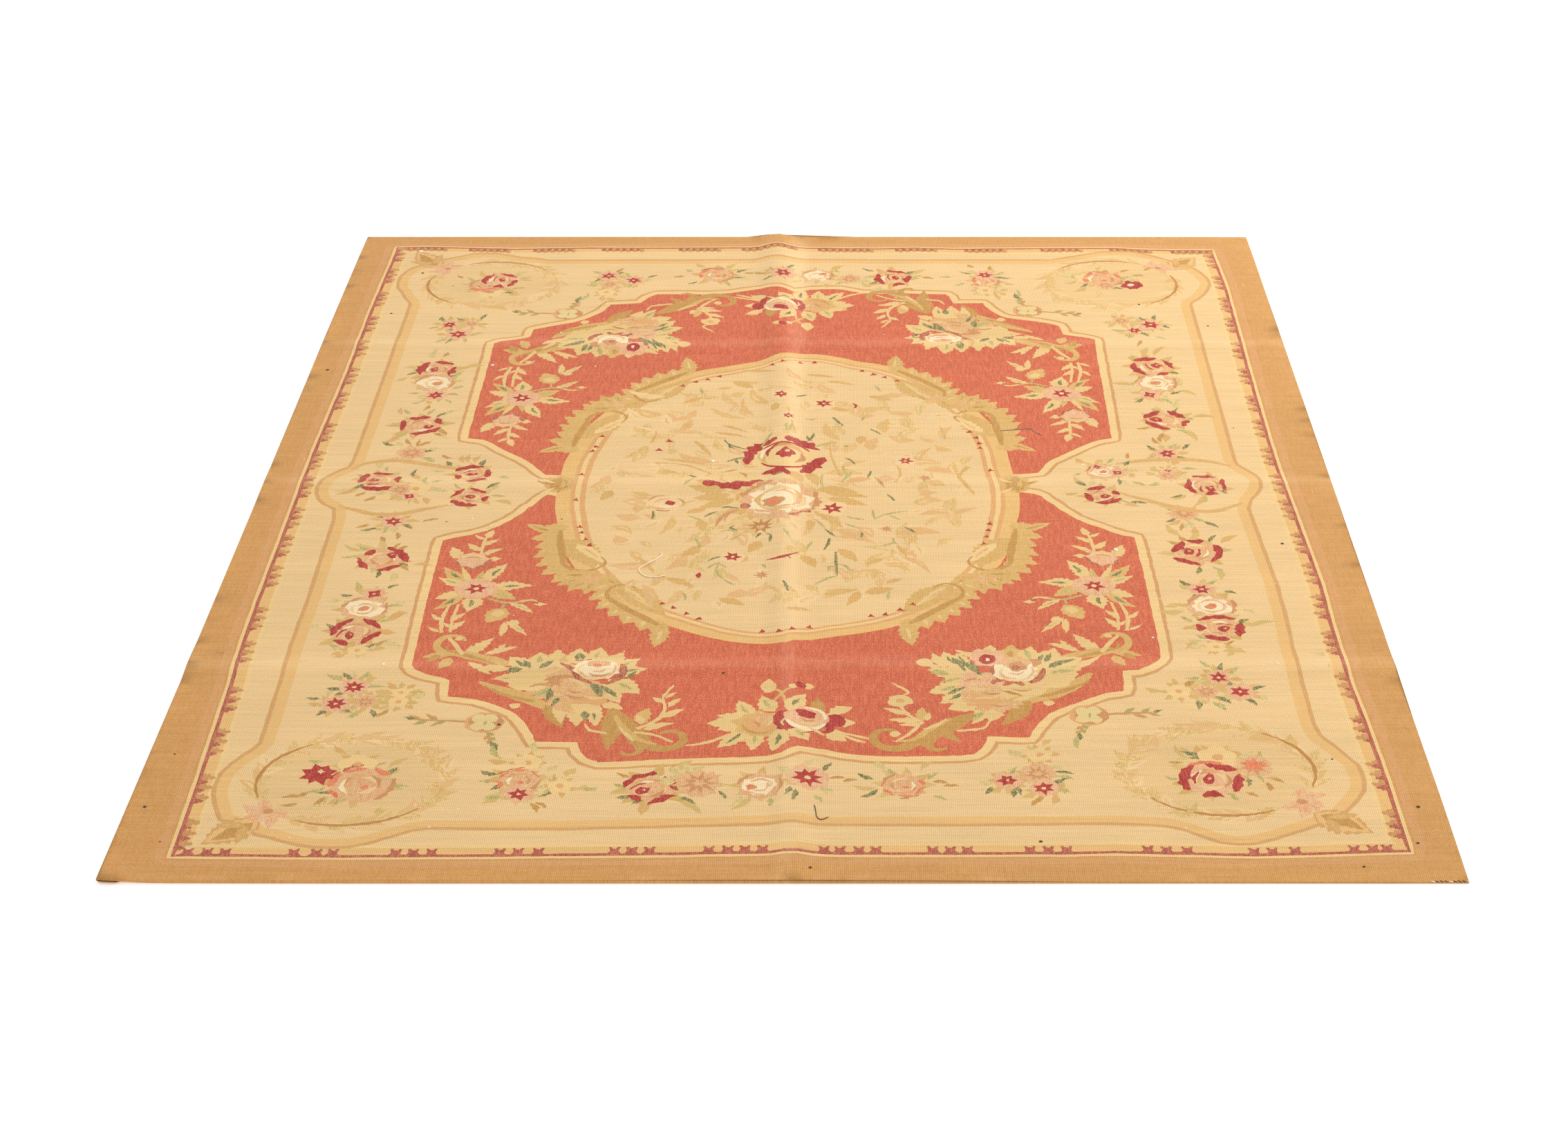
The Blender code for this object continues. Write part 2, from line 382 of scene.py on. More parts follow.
def crescent(yarn, x, y, radius, start, stop, width, teeth=True):
    """A curved petal, from start to stop in degrees, with blunt or pointed ends and, where it has
    teeth, the stepped edges that slanting lines get on a loom."""
    count = max(3, round(radius * math.radians(stop - start) / 9.5))
    outer, inner = [], []
    for k in range(count + 1):
        share = k / count
        angle = math.radians(start + (stop - start) * share)
        thick = width * (0.30 + 0.70 * math.sin(math.pi * share) ** 0.6)
        reach, depth = radius, thick
        if teeth:
            reach += radius * chance.uniform(-0.07, 0.09)
            depth *= chance.uniform(0.85, 1.30)
        outer.append((x + reach * math.cos(angle), y + reach * math.sin(angle)))
        inner.append((x + (radius - depth) * math.cos(angle), y + (radius - depth) * math.sin(angle)))
    lay(yarn, outer + inner[::-1], 0.8)


def soft_leaves(x, y, reach, count):
    """Leaves in yarns close to the ground, fanned out behind a flower."""
    for k in range(count):
        angle = 2 * math.pi * (k + chance.uniform(-0.3, 0.3)) / count
        stop = reach * chance.uniform(0.85, 1.15)
        base = (x + 0.35 * reach * math.cos(angle), y + 0.35 * reach * math.sin(angle))
        tip = (x + stop * math.cos(angle), y + stop * math.sin(angle))
        yarn, vein = chance.sample(PALE_LEAVES, 2)
        leaf(yarn, base, tip, reach * 0.30, chance.uniform(-0.12, 0.12), vein, step=11.0)


def star(x, y, radius, yarn=CRIMSON, points=6):
    """A small star flower on a pink body."""
    blob(PINK, x, y, radius * 1.7, ragged=0.16)
    spiky(yarn, x, y, radius * 1.28, points, 0.55, chance.uniform(0, 60))
    blob(STRAW, x, y, radius * 0.24, ragged=0.2)


def hatched_star(x, y, radius):
    """A pale flower shaded with brown hatching."""
    blob(BLUSH, x, y, radius * 1.35, ragged=0.15)
    spiky(SAND, x, y, radius * 1.15, 9, 0.45)
    spiky(BLUSH, x, y, radius * 0.5, 6, 0.5)


def pale_flower(x, y, radius):
    for k in range(5):
        angle = math.radians(72 * k + 20)
        blob(STRAW, x + 0.55 * radius * math.cos(angle), y + 0.55 * radius * math.sin(angle), radius * 0.55)
    blob(BISCUIT, x, y, radius * 0.32)


def petal_streaks(x, y, radius, turn, yarns=(STRAW, SAND, GOLD, STRAW, SAND, BISCUIT, IVORY)):
    """Curved strokes that shade the petals of a rose."""
    for k, yarn in enumerate(yarns):
        angle = math.radians(turn + 83 * k)
        reach = radius * chance.uniform(0.42, 0.62)
        spots = [(x + reach * math.cos(angle + a), y + reach * math.sin(angle + a))
                 for a in (-0.75, 0.0, 0.75)]
        ribbon(yarn, spots, 2.0, radius * chance.uniform(0.13, 0.22), 2.0, step=8.0)


def rose(x, y, radius, petals=CRIMSON, turn=0.0, heart=(0.0, 0.0), body=BLUSH, core=None):
    """A full rose: broken, stepped outer petals in one yarn round a paler body and a heart."""
    blob(body, x, y, radius * 0.86, ragged=0.10)
    petal_streaks(x, y, radius, turn)
    for start, stop in ((8, 74), (96, 196), (222, 262), (284, 350)):
        tilt = chance.uniform(-9, 9) + turn
        far = radius * chance.uniform(0.94, 1.06)
        crescent(petals, x, y, far, start + tilt, stop + tilt, radius * chance.uniform(0.26, 0.40))
    crescent(petals, x + heart[0], y + heart[1], radius * 0.50, turn + 100, turn + 190, radius * 0.10)
    blob(core or petals, x + heart[0], y + heart[1], radius * 0.27, 0.8, turn + 60, 0.34)
    blob(body, x + heart[0] + radius * 0.04, y + heart[1] + radius * 0.05, radius * 0.07)


def coral_rose(x, y, radius, turn=0.0):
    """A pink rose with thin, broken coral edges to its upper petals."""
    blob(BLUSH, x, y, radius * 1.0, ragged=0.12)
    petal_streaks(x, y, radius * 1.1, turn + 40)
    crescent(SAND, x, y, radius * 1.1, turn - 75, turn + 5, radius * 0.18)
    for start, stop in ((18, 58), (70, 118), (124, 172), (182, 214)):
        crescent(CORAL, x, y, radius * 1.04, turn + start, turn + stop, radius * chance.uniform(0.14, 0.26))
    crescent(WINE, x, y, radius * 1.16, turn + 80, turn + 150, radius * 0.09)
    blob(CORAL, x + radius * 0.1, y - radius * 0.15, radius * 0.17, 0.8, 20, 0.3)


def cream_rose(x, y, radius, heart=(0.0, 0.0), edge=SAND, core=CORAL):
    """A pale rose with flecked edges and a warm heart."""
    blob(BLUSH, x, y, radius * 1.08, ragged=0.12)
    crescent(edge, x, y, radius * 1.12, 100, 175, radius * 0.16)
    crescent(edge, x, y, radius * 1.12, -40, 30, radius * 0.16)
    blob(IVORY, x, y, radius * 0.84, ragged=0.20)
    petal_streaks(x, y, radius, 20, (STRAW, BLUSH, STRAW, GOLD, PINK, BLUSH))
    crescent(BLUSH, x, y, radius * 0.84, 215, 290, radius * 0.12)
    blob(SAND, x + heart[0], y + heart[1], radius * 0.32, 0.8, 20, ragged=0.22)
    blob(core, x + heart[0] * 1.05, y + heart[1], radius * 0.17, 1.2, ragged=0.25)


def plant(flowers, dark=(), light=(), ochre=(), spread=1.55, fans=8):
    """One spray: soft leaves, then short leaves pointing away from the nearest flower, then flowers."""
    for make, x, y, radius, *_ in flowers:
        for _ in range(4):
            angle = chance.uniform(0.0, 2 * math.pi)
            c, s = math.cos(angle), math.sin(angle)
            near, far = radius * chance.uniform(1.0, 1.3) + 8, radius * chance.uniform(1.5, 2.1) + 24
            base = (x + c * near - s * chance.uniform(-16, 16), y + s * near + c * chance.uniform(-16, 16))
            leaf(chance.choice(MISTY_LEAVES), base, (x + c * far, y + s * far), chance.uniform(12, 20), 0.12, step=12.0)
        soft_leaves(x, y, max(radius, 24) * spread, fans)
    for yarn, spots, scale in ((OCHRE, ochre, 0.95), (SAGE, light, 0.95), (MOSS, dark, 1.0)):
        for x, y in spots:
            _, fx, fy = min((math.hypot(x - f[1], y - f[2]), f[1], f[2]) for f in flowers)
            angle = math.atan2(y - fy, x - fx) + chance.uniform(-0.35, 0.35)
            half = DARK_LEAF_LENGTH * scale * chance.uniform(0.85, 1.2) / 2
            c, s = math.cos(angle) * half, math.sin(angle) * half
            leaf(yarn, (x - c, y - s), (x + c, y + s), DARK_LEAF_WIDTH * chance.uniform(0.9, 1.35), 0.08, step=6.0)
    for make, *rest in flowers:
        make(*rest)


plant([(pale_flower, -494, -1137, 26), (pale_flower, -425, -1218, 24), (coral_rose, -505, -1200, 39),
       (star, -500, -1245, 17)],
      [(-565, -1172), (-543, -1218), (-450, -1243)], [(-566, -1200), (-436, -1190), (-545, -1254)],
      [(-467, -1290), (-455, -1282)])
plant([(rose, -255, -1226, 52, CRIMSON, -20, (-13, -8))],
      [(-302, -1253), (-278, -1266), (-184, -1266)], [(-312, -1216), (-370, -1226)], [(-310, -1180)])
plant([(hatched_star, -165, -1208, 32), (cream_rose, -50, -1216, 38, (-16, -5))],
      [(-120, -1247)], [(-31, -1272)], [])
plant([(star, 39, -1192, 24, CRIMSON, 8)], [(14, -1253), (77, -1153), (2, -1240)], [(60, -1262)],
      [(120, -1200), (95, -1190)], 1.7)
plant([(coral_rose, 219, -1216, 38, 180)], [(153, -1247), (148, -1184), (160, -1238)],
      [(198, -1168), (277, -1184), (287, -1258)], [(308, -1218), (290, -1206)])
plant([(pale_flower, 482, -1110, 24), (hatched_star, 474, -1176, 24), (star, 416, -1199, 16),
       (star, 483, -1225, 17)],
      [(379, -1232), (432, -1232), (424, -1242), (526, -1174), (514, -1205)],
      [(526, -1190), (518, -1234), (430, -1170)], [(468, -1263), (460, -1272)], 1.7)


# The far end's sprays, the same kinds of flowers in another order.
plant([(star, -528, 1246, 17), (star, -459, 1214, 17), (hatched_star, -520, 1188, 18),
       (pale_flower, -525, 1135, 22)],
      [(-557, 1220), (-409, 1241), (-500, 1262)], [(-562, 1272), (-473, 1246), (-467, 1178), (-567, 1183)],
      [(-499, 1283)], 1.7)
plant([(coral_rose, -239, 1251, 44, -10)],
      [(-173, 1278), (-181, 1233), (-302, 1199)], [(-313, 1283), (-207, 1188)], [(-339, 1243), (-150, 1262)])
plant([(star, -60, 1251, 20)], [(-39, 1299), (-102, 1222)], [(-90, 1280)], [(-123, 1262)], 1.9)
plant([(cream_rose, 32, 1246, 38, (14, 12)), (hatched_star, 119, 1225, 22)], [], [(87, 1278), (90, 1200)])
plant([(rose, 235, 1230, 50, CRIMSON, 40, (8, 6))], [(169, 1288), (282, 1267), (180, 1200)],
      [(377, 1235), (300, 1240)], [(330, 1230)])
plant([(pale_flower, 479, 1146, 24), (coral_rose, 482, 1205, 34, 20), (star, 482, 1251, 17)],
      [(432, 1267), (526, 1230)], [(526, 1262), (542, 1188), (410, 1188)], [(447, 1314), (500, 1300)], 1.7)


# The left side's sprays, from the far bay down to the near one.
plant([(star, -913, 922, 15), (star, -883, 861, 20), (hatched_star, -857, 928, 15)],
      [(-936, 959), (-888, 957), (-830, 972), (-909, 893), (-902, 814)],
      [(-952, 904), (-836, 862), (-923, 814), (-862, 814)], [(-899, 735)], 2.0)
plant([(rose, -909, 646, 52, CRIMSON, 30, (-6, 0)), (cream_rose, -904, 567, 44, (6, -4)),
       (star, -892, 497, 17)],
      [(-967, 625), (-870, 600)], [(-852, 609), (-946, 509), (-883, 470), (-841, 541), (-930, 457), (-857, 462)],
      [(-904, 425), (-850, 500)], 1.45)
plant([(rose, -904, 330, 52, CRIMSON, 150, (18, -8))], [(-862, 385)],
      [(-946, 404), (-888, 402), (-970, 330), (-944, 276)], [(-857, 278), (-848, 292)], 1.45)
plant([(hatched_star, -904, 183, 24)], [(-967, 230), (-870, 188)], [(-862, 149)],
      [(-894, 235), (-920, 240), (-880, 228)], 1.7)
plant([(star, -896, -159, 17)], [(-946, -196), (-862, -185), (-930, -130)], [(-910, -200)],
      [(-962, -180), (-878, -228), (-909, -249), (-815, -154)], 2.3)
plant([(rose, -894, -333, 52, CRIMSON, 250, (16, 18))], [(-894, -401), (-846, -360)],
      [(-941, -285), (-967, -322)], [(-857, -285), (-841, -375), (-870, -275)], 1.45)
plant([(star, -888, -487, 15, CRIMSON, 4), (cream_rose, -899, -549, 44), (rose, -904, -643, 54, CRIMSON, 10, (-8, -16)),
       (pale_flower, -886, -720, 20)],
      [(-946, -491), (-852, -454), (-888, -512), (-957, -620), (-859, -705)],
      [(-925, -449), (-838, -538), (-936, -700), (-846, -600)], [(-840, -690)], 1.45)
plant([(star, -870, -863, 18, CRIMSON, 8), (star, -896, -926, 18, CRIMSON, 7), (hatched_star, -838, -918, 17),
       (pale_flower, -773, -918, 20), (pale_flower, -773, -884, 16)],
      [(-888, -821), (-908, -868), (-892, -884), (-944, -905), (-920, -958), (-873, -953), (-817, -963)],
      [(-916, -824), (-852, -821), (-823, -863), (-857, -968)], [(-800, -960)], 1.9)


# The right side's sprays, from the far bay down to the near one.
plant([(star, 895, 922, 19), (star, 850, 885, 14), (hatched_star, 821, 946, 17)],
      [(879, 957), (910, 968), (929, 909), (874, 858)], [(805, 888), (832, 846), (910, 835), (876, 893)],
      [(853, 799)], 2.0)
plant([(rose, 874, 662, 55, CRIMSON, 60, (10, 8)), (cream_rose, 874, 567, 46), (star, 852, 499, 15, CRIMSON, 4)],
      [(926, 625), (916, 509), (821, 467)], [(837, 722), (845, 532), (889, 462), (805, 562)], [(900, 540)], 1.45)
plant([(rose, 874, 357, 52, CRIMSON, 90, (-22, 4))], [(905, 405)], [(858, 410), (908, 296), (930, 362)],
      [(816, 314), (853, 270)], 1.45)
plant([(star, 860, 178, 17)], [(826, 209), (910, 214), (895, 150)], [(821, 162), (880, 215)],
      [(853, 258), (840, 245)], 2.2)
plant([(hatched_star, 866, -120, 24)], [(832, -154), (921, -175)], [(895, -154), (840, -100)], [(853, -185)], 1.7)
plant([(rose, 874, -301, 56, CRIMSON, 200, (-18, 2))], [(916, -240), (868, -385)], [(942, -296), (910, -380)],
      [(826, -258), (850, -240)], 1.45)
plant([(star, 866, -467, 16), (cream_rose, 879, -538, 46), (rose, 884, -628, 50, CRIMSON, -60, (10, -6)),
       (pale_flower, 868, -706, 20)],
      [(834, -438), (926, -480), (850, -491), (940, -601)], [(895, -438), (842, -664), (821, -591)],
      [(900, -690)], 1.45)
plant([(star, 858, -828, 15), (star, 895, -880, 18), (hatched_star, 829, -880, 18), (pale_flower, 773, -880, 24)],
      [(868, -795), (874, -848), (934, -868), (805, -932), (858, -913), (910, -916)],
      [(837, -779), (895, -805), (805, -829), (847, -935)], [(800, -850)], 1.9)


# The two side bays: an oval of tan stripe round four roses, open towards the medallion.
OVAL_WIDTH = 17.0
LEFT_OVAL = (
    [(-1030, 100), (-1004, 126), (-946, 141), (-904, 135), (-820, 109), (-760, 92)],
    [(-1030, -84), (-1009, -96), (-967, -117), (-925, -128), (-883, -122), (-841, -104), (-785, -80)],
)
RIGHT_OVAL = (
    [(735, 124), (800, 141), (853, 146), (905, 146), (958, 135), (1000, 112)],
    [(735, -25), (800, -64), (855, -95), (905, -112), (947, -107), (984, -84), (1005, -70)],
)
for arc in LEFT_OVAL + RIGHT_OVAL:
    ribbon(GOLD, arc, 6.0, OVAL_WIDTH, OVAL_WIDTH, OVAL_WIDTH, 6.0)
    ribbon(BISCUIT, arc, 2.0, 6.0, 6.0, 2.0)
plant([(rose, -957, 36, 46, CRIMSON, 130, (-13, 0)), (rose, -749, 72, 44, CRIMSON, -30, (0, -2)),
       (rose, -741, -43, 43, CRIMSON, 110, (2, 2)), (pale_flower, -868, -2, 30), (star, -878, -38, 12, CRIMSON, 4),
       (hatched_star, -904, -7, 18)],
      [(-883, 75), (-694, 12), (-730, 130), (-809, 128), (-1000, 10)],
      [(-1002, 62), (-949, 99), (-852, 36), (-823, 30), (-775, 10), (-675, 51), (-678, -38), (-857, 146)],
      [(-820, 162), (-994, -28), (-967, -49)], 1.35)
plant([(rose, 930, 14, 48, CRIMSON, 40, (9, -15)), (rose, 692, -33, 42, CRIMSON, 150, (5, -5)),
       (cream_rose, 703, 83, 36, (0, 0), WINE), (star, 735, 79, 12, CRIMSON, 4), (star, 690, 109, 9, CRIMSON, 4),
       (hatched_star, 850, 60, 18), (star, 852, 90, 8, CRIMSON, 4)],
      [(763, 128), (647, 25), (734, 30), (858, -38), (968, -17), (771, -70)],
      [(726, 141), (640, 70), (779, 20), (813, 20), (903, 99), (921, -54), (737, -65)], [(768, 167)], 1.35)


# The corner wreaths: an oval twig bound with a bow at the outer corner, with small leaves growing
# both ways round from it, and a bouquet of roses inside.
DUSK = Yarn((237, 200, 143), (229, 188, 126), 0.36)
TWIG = Yarn((204, 148, 88), (188, 130, 70), 0.40)
SHADOW_LEAVES = (
    Yarn((231, 189, 122), (222, 176, 106), 0.36), Yarn((228, 184, 118), (238, 200, 140), 0.36),
    Yarn((244, 209, 156), (236, 196, 136), 0.36), Yarn((222, 180, 110), (232, 194, 130), 0.36),
    Yarn((234, 190, 132), (226, 176, 116), 0.36), Yarn((218, 182, 112), (230, 196, 134), 0.36),
)
Wreath = namedtuple("Wreath", "x y across along bow_angle")
WREATHS = (
    Wreath(-820, -1200, 178, 148, 222), Wreath(821, -1163, 179, 153, 318),
    Wreath(-834, 1191, 172, 150, 138), Wreath(816, 1192, 174, 156, 42),
)


def on_wreath(wreath, degrees, swell=1.0):
    angle = math.radians(degrees)
    return (wreath.x + wreath.across * swell * math.cos(angle), wreath.y + wreath.along * swell * math.sin(angle))


for wreath in WREATHS:
    lay(DUSK, [on_wreath(wreath, 6 * k, 1.03) for k in range(60)], 2.5)
    for hand in (-1, 1):
        pale = [on_wreath(wreath, wreath.bow_angle + hand * a) for a in range(90, 181, 10)]
        ribbon(GOLD, pale, 5.0, 6.0, 3.0)
        for a in range(16, 178, 11):
            for out in (-1, 1):
                base = on_wreath(wreath, wreath.bow_angle + hand * a)
                stretch = chance.uniform(11, 20)
                tip = on_wreath(wreath, wreath.bow_angle + hand * (a + stretch), 1 + out * chance.uniform(0.10, 0.24))
                yarn, vein = chance.sample(SHADOW_LEAVES, 2)
                leaf(yarn, base, tip, chance.uniform(13, 24), 0.1 * out * hand, vein, step=11.0)
        dark = [on_wreath(wreath, wreath.bow_angle + hand * a) for a in range(20, 101, 8)]
        ribbon(TWIG, dark, 3.0, 8.0, 7.0, 3.0)
    x, y = on_wreath(wreath, wreath.bow_angle, 1.04)
    out = math.degrees(math.atan2(y - wreath.y, x - wreath.x))
    for turn, length in ((62, 58), (-62, 58), (115, 50), (-115, 50), (10, 46), (-15, 46)):
        angle = math.radians(out + turn)
        tip = (x + length * math.cos(angle), y + length * math.sin(angle))
        leaf(PINK, (x, y), tip, 26.0, 0.12, BISCUIT)
    blob(SAND, x, y, 10.0)
plant([(pale_flower, -817, -1147, 36), (coral_rose, -799, -1214, 58, 15)], [(-746, -1168), (-862, -1237)],
      [(-899, -1132), (-775, -1145), (-883, -1232), (-836, -1268), (-728, -1220)],
      [(-909, -1247), (-870, -1268), (-925, -1279), (-930, -1250)], 1.35)
spiky(CRIMSON, -885, -1178, 38, 8, 0.62, 20)
spiky(STRAW, -882, -1169, 8, 4, 0.5)
plant([(pale_flower, 821, -1118, 36), (hatched_star, 886, -1150, 26), (rose, 800, -1195, 60, CRIMSON, 20, (-5, 0), PINK)],
      [(771, -1103), (868, -1205), (780, -1118)], [(905, -1110), (834, -1255), (726, -1190), (890, -1190)],
      [(905, -1221), (871, -1247), (925, -1200), (740, -1135)], 1.35)
spiky(CORAL, 886, -1147, 27, 5, 0.5, 10)
crescent(CORAL, 800, -1195, 62, 50, 130, 9)
plant([(pale_flower, -833, 1135, 32), (coral_rose, -850, 1180, 40, 190), (hatched_star, -820, 1210, 40)],
      [(-785, 1130), (-880, 1160)], [(-894, 1225), (-780, 1245), (-744, 1214), (-799, 1151), (-900, 1190)],
      [(-925, 1241), (-760, 1160)], 1.35)
rose(-816, 1212, 48, CRIMSON, 25, (4, 8), PINK)
crescent(CORAL, -856, 1200, 52, 215, 325, 10)
plant([(pale_flower, 760, 1230, 34), (coral_rose, 795, 1222, 50, -10), (hatched_star, 800, 1180, 20)],
      [(742, 1183), (830, 1160)], [(863, 1232), (724, 1235), (880, 1215)], [(895, 1246), (860, 1278), (926, 1293)], 1.35)
blob(CRIMSON, 871, 1183, 30, 0.85, 10, 0.22)
blob(IVORY, 868, 1184, 9)


# The rosettes at the stepped corners of the red field's frame: a cream four-petalled flower in a
# tan ring, from which one budded branch runs along the side and one along the end.
Rosette = namedtuple("Rosette", "x y side_tip_x side_tip_y end_tip_x end_tip_y")
ROSETTES = (
    Rosette(-594, -995, -730, -984, -574, -1062), Rosette(587, -968, 712, -958, 566, -1030),
    Rosette(-615, 991, -742, 1000, -598, 1062), Rosette(582, 1012, 704, 990, 566, 1086),
)
RING_RADIUS = 39.0
BRANCH = Yarn((214, 166, 104), (198, 148, 88), 0.40)
SAGE_CREAM = Yarn((238, 211, 150), (226, 196, 130), 0.40)
for it in ROSETTES:
    tips = ((it.side_tip_x, it.side_tip_y), (it.end_tip_x, it.end_tip_y))
    for tip in tips:
        run = np.array(tip) - (it.x, it.y)
        ribbon(BRANCH, [(it.x, it.y), np.array((it.x, it.y)) + run * 0.6, tip], 10.0, 7.0, 6.0)
        for share, lean in ((0.55, 0.16), (0.68, -0.16), (0.8, 0.14), (0.92, -0.12)):
            stem = np.array((it.x, it.y)) + run * share
            across = np.array((-run[1], run[0]))
            leaf(PALE_MOSS if lean > 0 else BRANCH, stem, stem + run * 0.22 + across * lean, 12.0)
    leaf(MOSS, tips[0], np.array(tips[0]) + (np.array(tips[0]) - (it.x, it.y)) * 0.18 + (0, 8), 12.0)
    away = np.array(tips[1]) - (it.x, it.y)
    leaf(MOSS, tips[1], np.array(tips[1]) + away * 0.62, 13.0, 0.1)
    leaf(SAGE, np.array(tips[1]) + away * 0.2, np.array(tips[1]) + away * 0.95 + (10, 0), 13.0, -0.1)
    blob(BISCUIT, it.x, it.y, RING_RADIUS, 0.96, ragged=0.05)
    blob(SAND, it.x + 4, it.y - 2, RING_RADIUS * 0.86, 0.96, ragged=0.07)
    for lobe_x, lobe_y in ((-11, 14), (10, 15), (-12, -13), (11, -14)):
        blob(SAGE_CREAM, it.x + lobe_x, it.y + lobe_y, 15.0, ragged=0.10)
    blob(SAGE_CREAM, it.x, it.y, 14.0)
    leaf(PALE_MOSS, (it.x + 2, it.y - 12), (it.x + 2, it.y + 10), 5.0)


# The garlands on the red field's sides: a calyx flower with a fern, a star flower in pale leaves, a
# budded stem, twin leafy stems and an ochre scroll. They are drawn once, for the near left side,
# and woven in each quarter, flipped, as the weaver turned the cartoon over.
LEAFY = Yarn((238, 204, 142), (228, 186, 116), 0.36)
PALE_GOLD = Yarn((231, 190, 122), (214, 168, 96), 0.40)


def around(x, y, radius, degrees):
    """The point at that radius and angle about x, y."""
    turn = math.radians(degrees)
    return x + radius * math.cos(turn), y + radius * math.sin(turn)


def scroll(yarn, tail, x, y, radius, start, sweep, width):
    """A ribbon that runs from its tail into a spiral, which winds in about x, y by sweep degrees."""
    share = np.linspace(0.0, 1.0, SCROLL_POINTS)
    curl = [around(x, y, radius * (1 - SCROLL_CLOSE * part), start + sweep * part) for part in share]
    widths = [width * part for part in SCROLL_WIDTHS]
    ribbon(yarn, [tail, *curl], *widths, step=8.0)


SCROLL_POINTS = 8
SCROLL_CLOSE = 0.55
SCROLL_WIDTHS = (0.35, 1.0, 0.95, 0.65, 0.50, 0.42, 0.20)


def leaves(rows):
    """Leaves given as yarn, base x and y, tip x and y, width, and a vein's yarn where there is one."""
    for yarn, base_x, base_y, tip_x, tip_y, width, *vein in rows:
        leaf(yarn, (base_x, base_y), (tip_x, tip_y), width, 0.04, vein[0] if vein else None, step=7.0)


def again(first, last, flip_x, flip_y, x, y):
    """Weaves the patches from first to last again, flipped across an axis or both, and moved. It
    comes out a little pulled out of shape, as no two repeats are alike."""
    phase = chance.uniform(0.0, 6.0)
    for yarn, outline in patches[first:last]:
        pull = np.sin(outline[:, ::-1] / 41.0 + phase) * 3.0 + np.sin(outline / 17.0 + phase) * 0.8
        patches.append((yarn, outline * (flip_x, flip_y) + (x, y) + pull))


def star_in_leaves(x, y, rows, tilt):
    """A crimson star on a pink body, in pale leaves with green veins, given by their tips."""
    for k, (tip_x, tip_y, width, vein) in enumerate(rows):
        base = (x + (tip_x - x) * 0.25, y + (tip_y - y) * 0.25)
        leaf(LEAFY if k % 3 else PALE_GOLD, base, (tip_x, tip_y), width, 0.05, step=7.0)
        if vein:
            inner = (x + (tip_x - x) * 0.48, y + (tip_y - y) * 0.48)
            outer = (x + (tip_x - x) * 0.80, y + (tip_y - y) * 0.80)
            leaf(vein, inner, outer, 9.0, 0.08, step=6.0)
    blob(PINK, x, y, 46.0, 0.92, 0, 0.07)
    crescent(BLUSH, x, y, 44.0, 200, 330, 10.0, False)
    spiky(CRIMSON, x, y, 25.0, 6, 0.50, tilt)
    blob(STRAW, x, y, 6.0, ragged=0.2)


first = len(patches)
ribbon(LEAFY, [(-680, -318), (-684, -280), (-682, -245), (-676, -222)], 8.0, 7.0, 5.0, step=7.0)
leaves([
    (LEAFY, -681, -318, -638, -284, 17), (LEAFY, -684, -297, -718, -262, 17),
    (LEAFY, -683, -272, -650, -242, 17), (LEAFY, -683, -245, -707, -222, 13),
    (LEAFY, -680, -240, -667, -198, 20), (LEAFY, -722, -335, -750, -277, 30),
    (LEAFY, -664, -338, -634, -330, 18),
])
spiky(WINE, -699, -345, 42.0, 9, 0.74, 12)
spiky(PINK, -698, -337, 38.0, 8, 0.78, 6)
crescent(LEAFY, -698, -342, 32.0, 30, 150, 14.0)
crescent(SAND, -698, -345, 24.0, 40, 140, 6.0, False)
star_in_leaves(-675, -464, [
    (-755, -369, 33, MOSS), (-620, -353, 34, MOSS), (-716, -366, 13, None), (-668, -384, 16, SAGE),
    (-761, -414, 28, SAGE), (-759, -507, 34, None), (-755, -553, 25, MOSS), (-682, -562, 44, MOSS),
    (-557, -450, 38, MOSS), (-586, -510, 36, SAGE),
], 10)
ribbon(SAGE, [(-648, -503), (-605, -524), (-560, -515)], 6.0, 6.0, 5.0, step=7.0)
ribbon(SAGE, [(-608, -524), (-610, -545)], 5.0, 5.0)
ribbon(LEAFY, [(-575, -518), (-552, -513), (-535, -524)], 6.0, 7.0, 5.0, step=7.0)
leaves([(LEAFY, -600, -522, -544, -568, 18, SAGE), (LEAFY, -545, -532, -518, -531, 16),
        (LEAFY, -600, -606, -600, -668, 17), (LEAFY, -598, -602, -545, -663, 17, SAGE)])
blob(WINE, -542, -524, 7.0)
leaf(PALE_GOLD, (-604, -548), (-636, -606), 50.0, step=7.0)
blob(LEAFY, -618, -568, 14.0, 1.0, 0, 0.2)
blob(LEAFY, -581, -609, 12.0)
ribbon(LEAFY, [(-723, -532), (-730, -595), (-724, -650)], 6.0, 9.0, 7.0, step=8.0)
ribbon(LEAFY, [(-703, -530), (-708, -590), (-706, -648)], 6.0, 8.0, 7.0, step=8.0)
leaves([(LEAFY, -730, -600, -756, -570, 13), (LEAFY, -725, -648, -758, -622, 11),
        (LEAFY, -712, -604, -685, -566, 16), (LEAFY, -708, -640, -681, -598, 17),
        (LEAFY, -710, -628, -724, -606, 10)])
leaves([(GOLD, -690, -728, -750, -750, 30), (OCHRE, -715, -738, -736, -772, 20),
        (GOLD, -690, -752, -712, -798, 26), (LEAFY, -655, -738, -613, -671, 27),
        (LEAFY, -655, -735, -655, -700, 18), (LEAFY, -626, -738, -560, -706, 20),
        (LEAFY, -600, -718, -586, -694, 12), (LEAFY, -655, -772, -602, -818, 17),
        (LEAFY, -625, -795, -560, -800, 26)])
scroll(GOLD, (-566, -782), -690, -690, 48, -70, -270, 34)
scroll(OCHRE, (-592, -785), -688, -700, 30, -80, -110, 13)
ribbon(LEAFY, [(-706, -668), (-690, -696), (-668, -740)], 7.0, 11.0, 8.0, step=8.0)
blob(LEAFY, -684, -672, 9.0)
